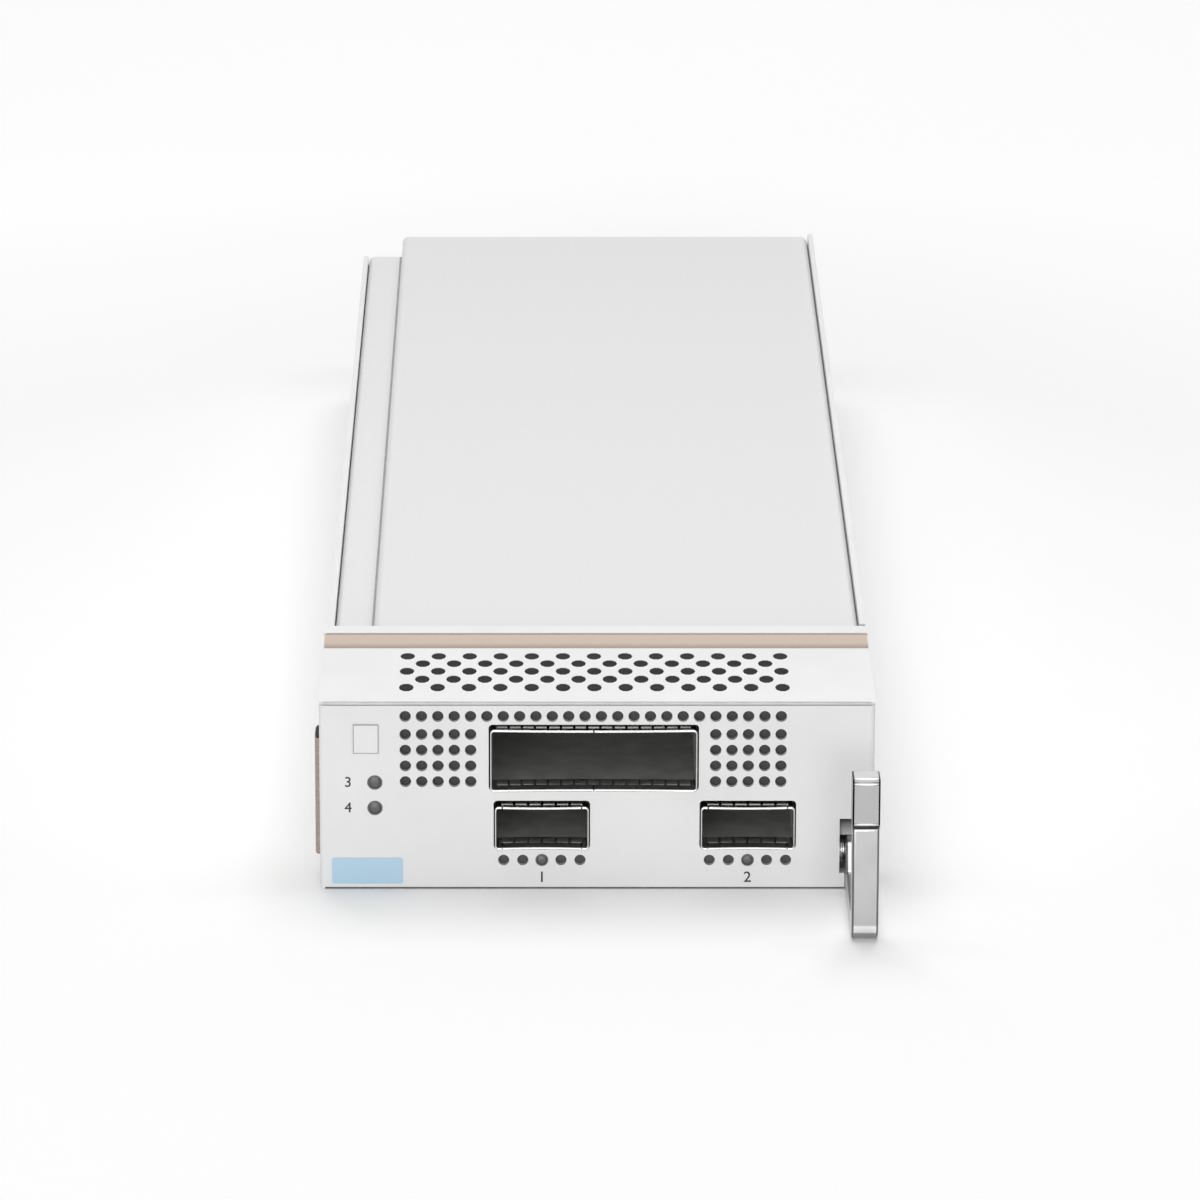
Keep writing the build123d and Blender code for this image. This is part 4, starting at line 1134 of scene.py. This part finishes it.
def makePowerBlades():
    # flat blades with a half-round tip, seen from above
    low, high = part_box("power_connector")
    middle = (low + high) / 2 / mm
    half = contacts["bladeHalf"]
    turn = np.linspace(0, math.pi, contacts["steps"])
    tip = high.y / mm - contacts["tip"] - half
    nose = np.stack((half * np.cos(turn), tip + half * np.sin(turn)), 1)
    blade = np.concatenate((nose, [(-half, tip - contacts["length"]), (half, tip - contacts["length"])]))
    bottom, top = middle.z - contacts["bladeHeight"] / 2, middle.z + contacts["bladeHeight"] / 2
    columns = evenlySpaced(middle.x, contacts["powerBlades"], contacts["powerPitch"])
    blades = joined([sweepUp(blade + (x, 0), bottom, top) for x in columns])
    addPiece("powerBlades", blades, "nickel_finger_strip")


makeSignalContacts()
makePowerBlades()
print("rear contacts made")


# A grey bead in the inside corner between the cover's ledge and its step: painted shadow

stepBead = {
    "stepX": -47.7,  # millimetres
    "width": 0.8,
    "rise": 0.35,
    "sink": 0.1,  # into the ledge
    "ledgeDrop": 5.3,  # below the cover's top
    "end": 1.0,  # short of the cover's ends by this
    "steps": 7,
}


def makeStepBead():
    # in section a quarter of an ellipse, low at the ledge's side and higher at the step, carried along Y
    low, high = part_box("cover")
    turn = np.linspace(0, math.pi / 2, stepBead["steps"])
    step, width = stepBead["stepX"], stepBead["width"]
    ledge = high.z / mm - stepBead["ledgeDrop"]
    curve = np.stack((step - width * np.cos(turn), ledge + stepBead["rise"] * np.sin(turn)), 1)
    bottom = ledge - stepBead["sink"]
    section = np.concatenate((curve, [(step, bottom), (step - width, bottom)]))
    ends = (low.y / mm + stepBead["end"], high.y / mm - stepBead["end"])
    places = np.concatenate([np.insert(section, 1, y, axis=1) for y in ends]) * mm
    addPiece("coverStepBead", (places, tubeFaces(2, len(section))), "conductive_fabric", seamSealer())


makeStepBead()
print("step bead made")


# Seals: fabric over foam, crowned, with a foam core that shows at the side seal's cut ends

seals = {
    "edgeDrop": 0.75,  # the top seal's edges lie lower than its crown by this share of its thickness
    "crownPower": 8,
    "stations": 41,  # along the top seal
    "topSteps": 25,  # across it
    "sidePower": 0.5,
    "sideSteps": 15,
    "coreShare": 0.86,  # the side seal's core against its fabric
    "coreProud": 0.04,  # millimetres that the core stands out of each cut end
}


def makeTopSeal():
    # across its width, with u from -1 to 1, the strip lies below its crown by edgeDrop of its thickness
    # times the eighth power of u
    low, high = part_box("top_seal")
    u = np.linspace(-1, 1, seals["topSteps"])
    across = (low.y + high.y) / 2 + u * (high.y - low.y) / 2
    crown = high.z - (high.z - low.z) * seals["edgeDrop"] * np.abs(u) ** seals["crownPower"]
    profile = np.concatenate((np.stack((across, crown), 1), [(high.y, low.z), (low.y, low.z)]))
    shape = carryAcross(low.x / mm, high.x / mm, profile / mm, 0.0, seals["stations"])
    addPiece("topSealFabric", shape, "conductive_fabric", None, ("top_seal",))


def makeSideSeal():
    # in plan a D, flat on the face plate's side: with the turn t from -90 to 90 degrees, it stands out by
    # the square root of cos t, and goes along by the square root of |sin t| with its sign
    low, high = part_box("side_seal")
    turn = np.linspace(-math.pi / 2, math.pi / 2, seals["sideSteps"])
    middle, half, thick = (low.y + high.y) / 2, (high.y - low.y) / 2, high.x - low.x
    along = np.sign(np.sin(turn)) * np.abs(np.sin(turn)) ** seals["sidePower"]
    curve = np.stack((high.x - thick * np.cos(turn) ** seals["sidePower"], middle + half * along), 1)
    seat = np.array((high.x, middle))
    for name, share, proud, finish, slot in (
        ("sideSealFabric", 1.0, 0.0, sealFabric(), "conductive_fabric"),
        ("sideSealCore", seals["coreShare"], seals["coreProud"], foamCore(), "black_moulding"),
    ):
        outline = (seat + (curve - seat) * share) / mm
        shape = sweepUp(outline, low.z / mm - proud, high.z / mm + proud)
        addPiece(name, shape, slot, finish, ("side_seal",))


makeTopSeal()
makeSideSeal()
print("seals made")
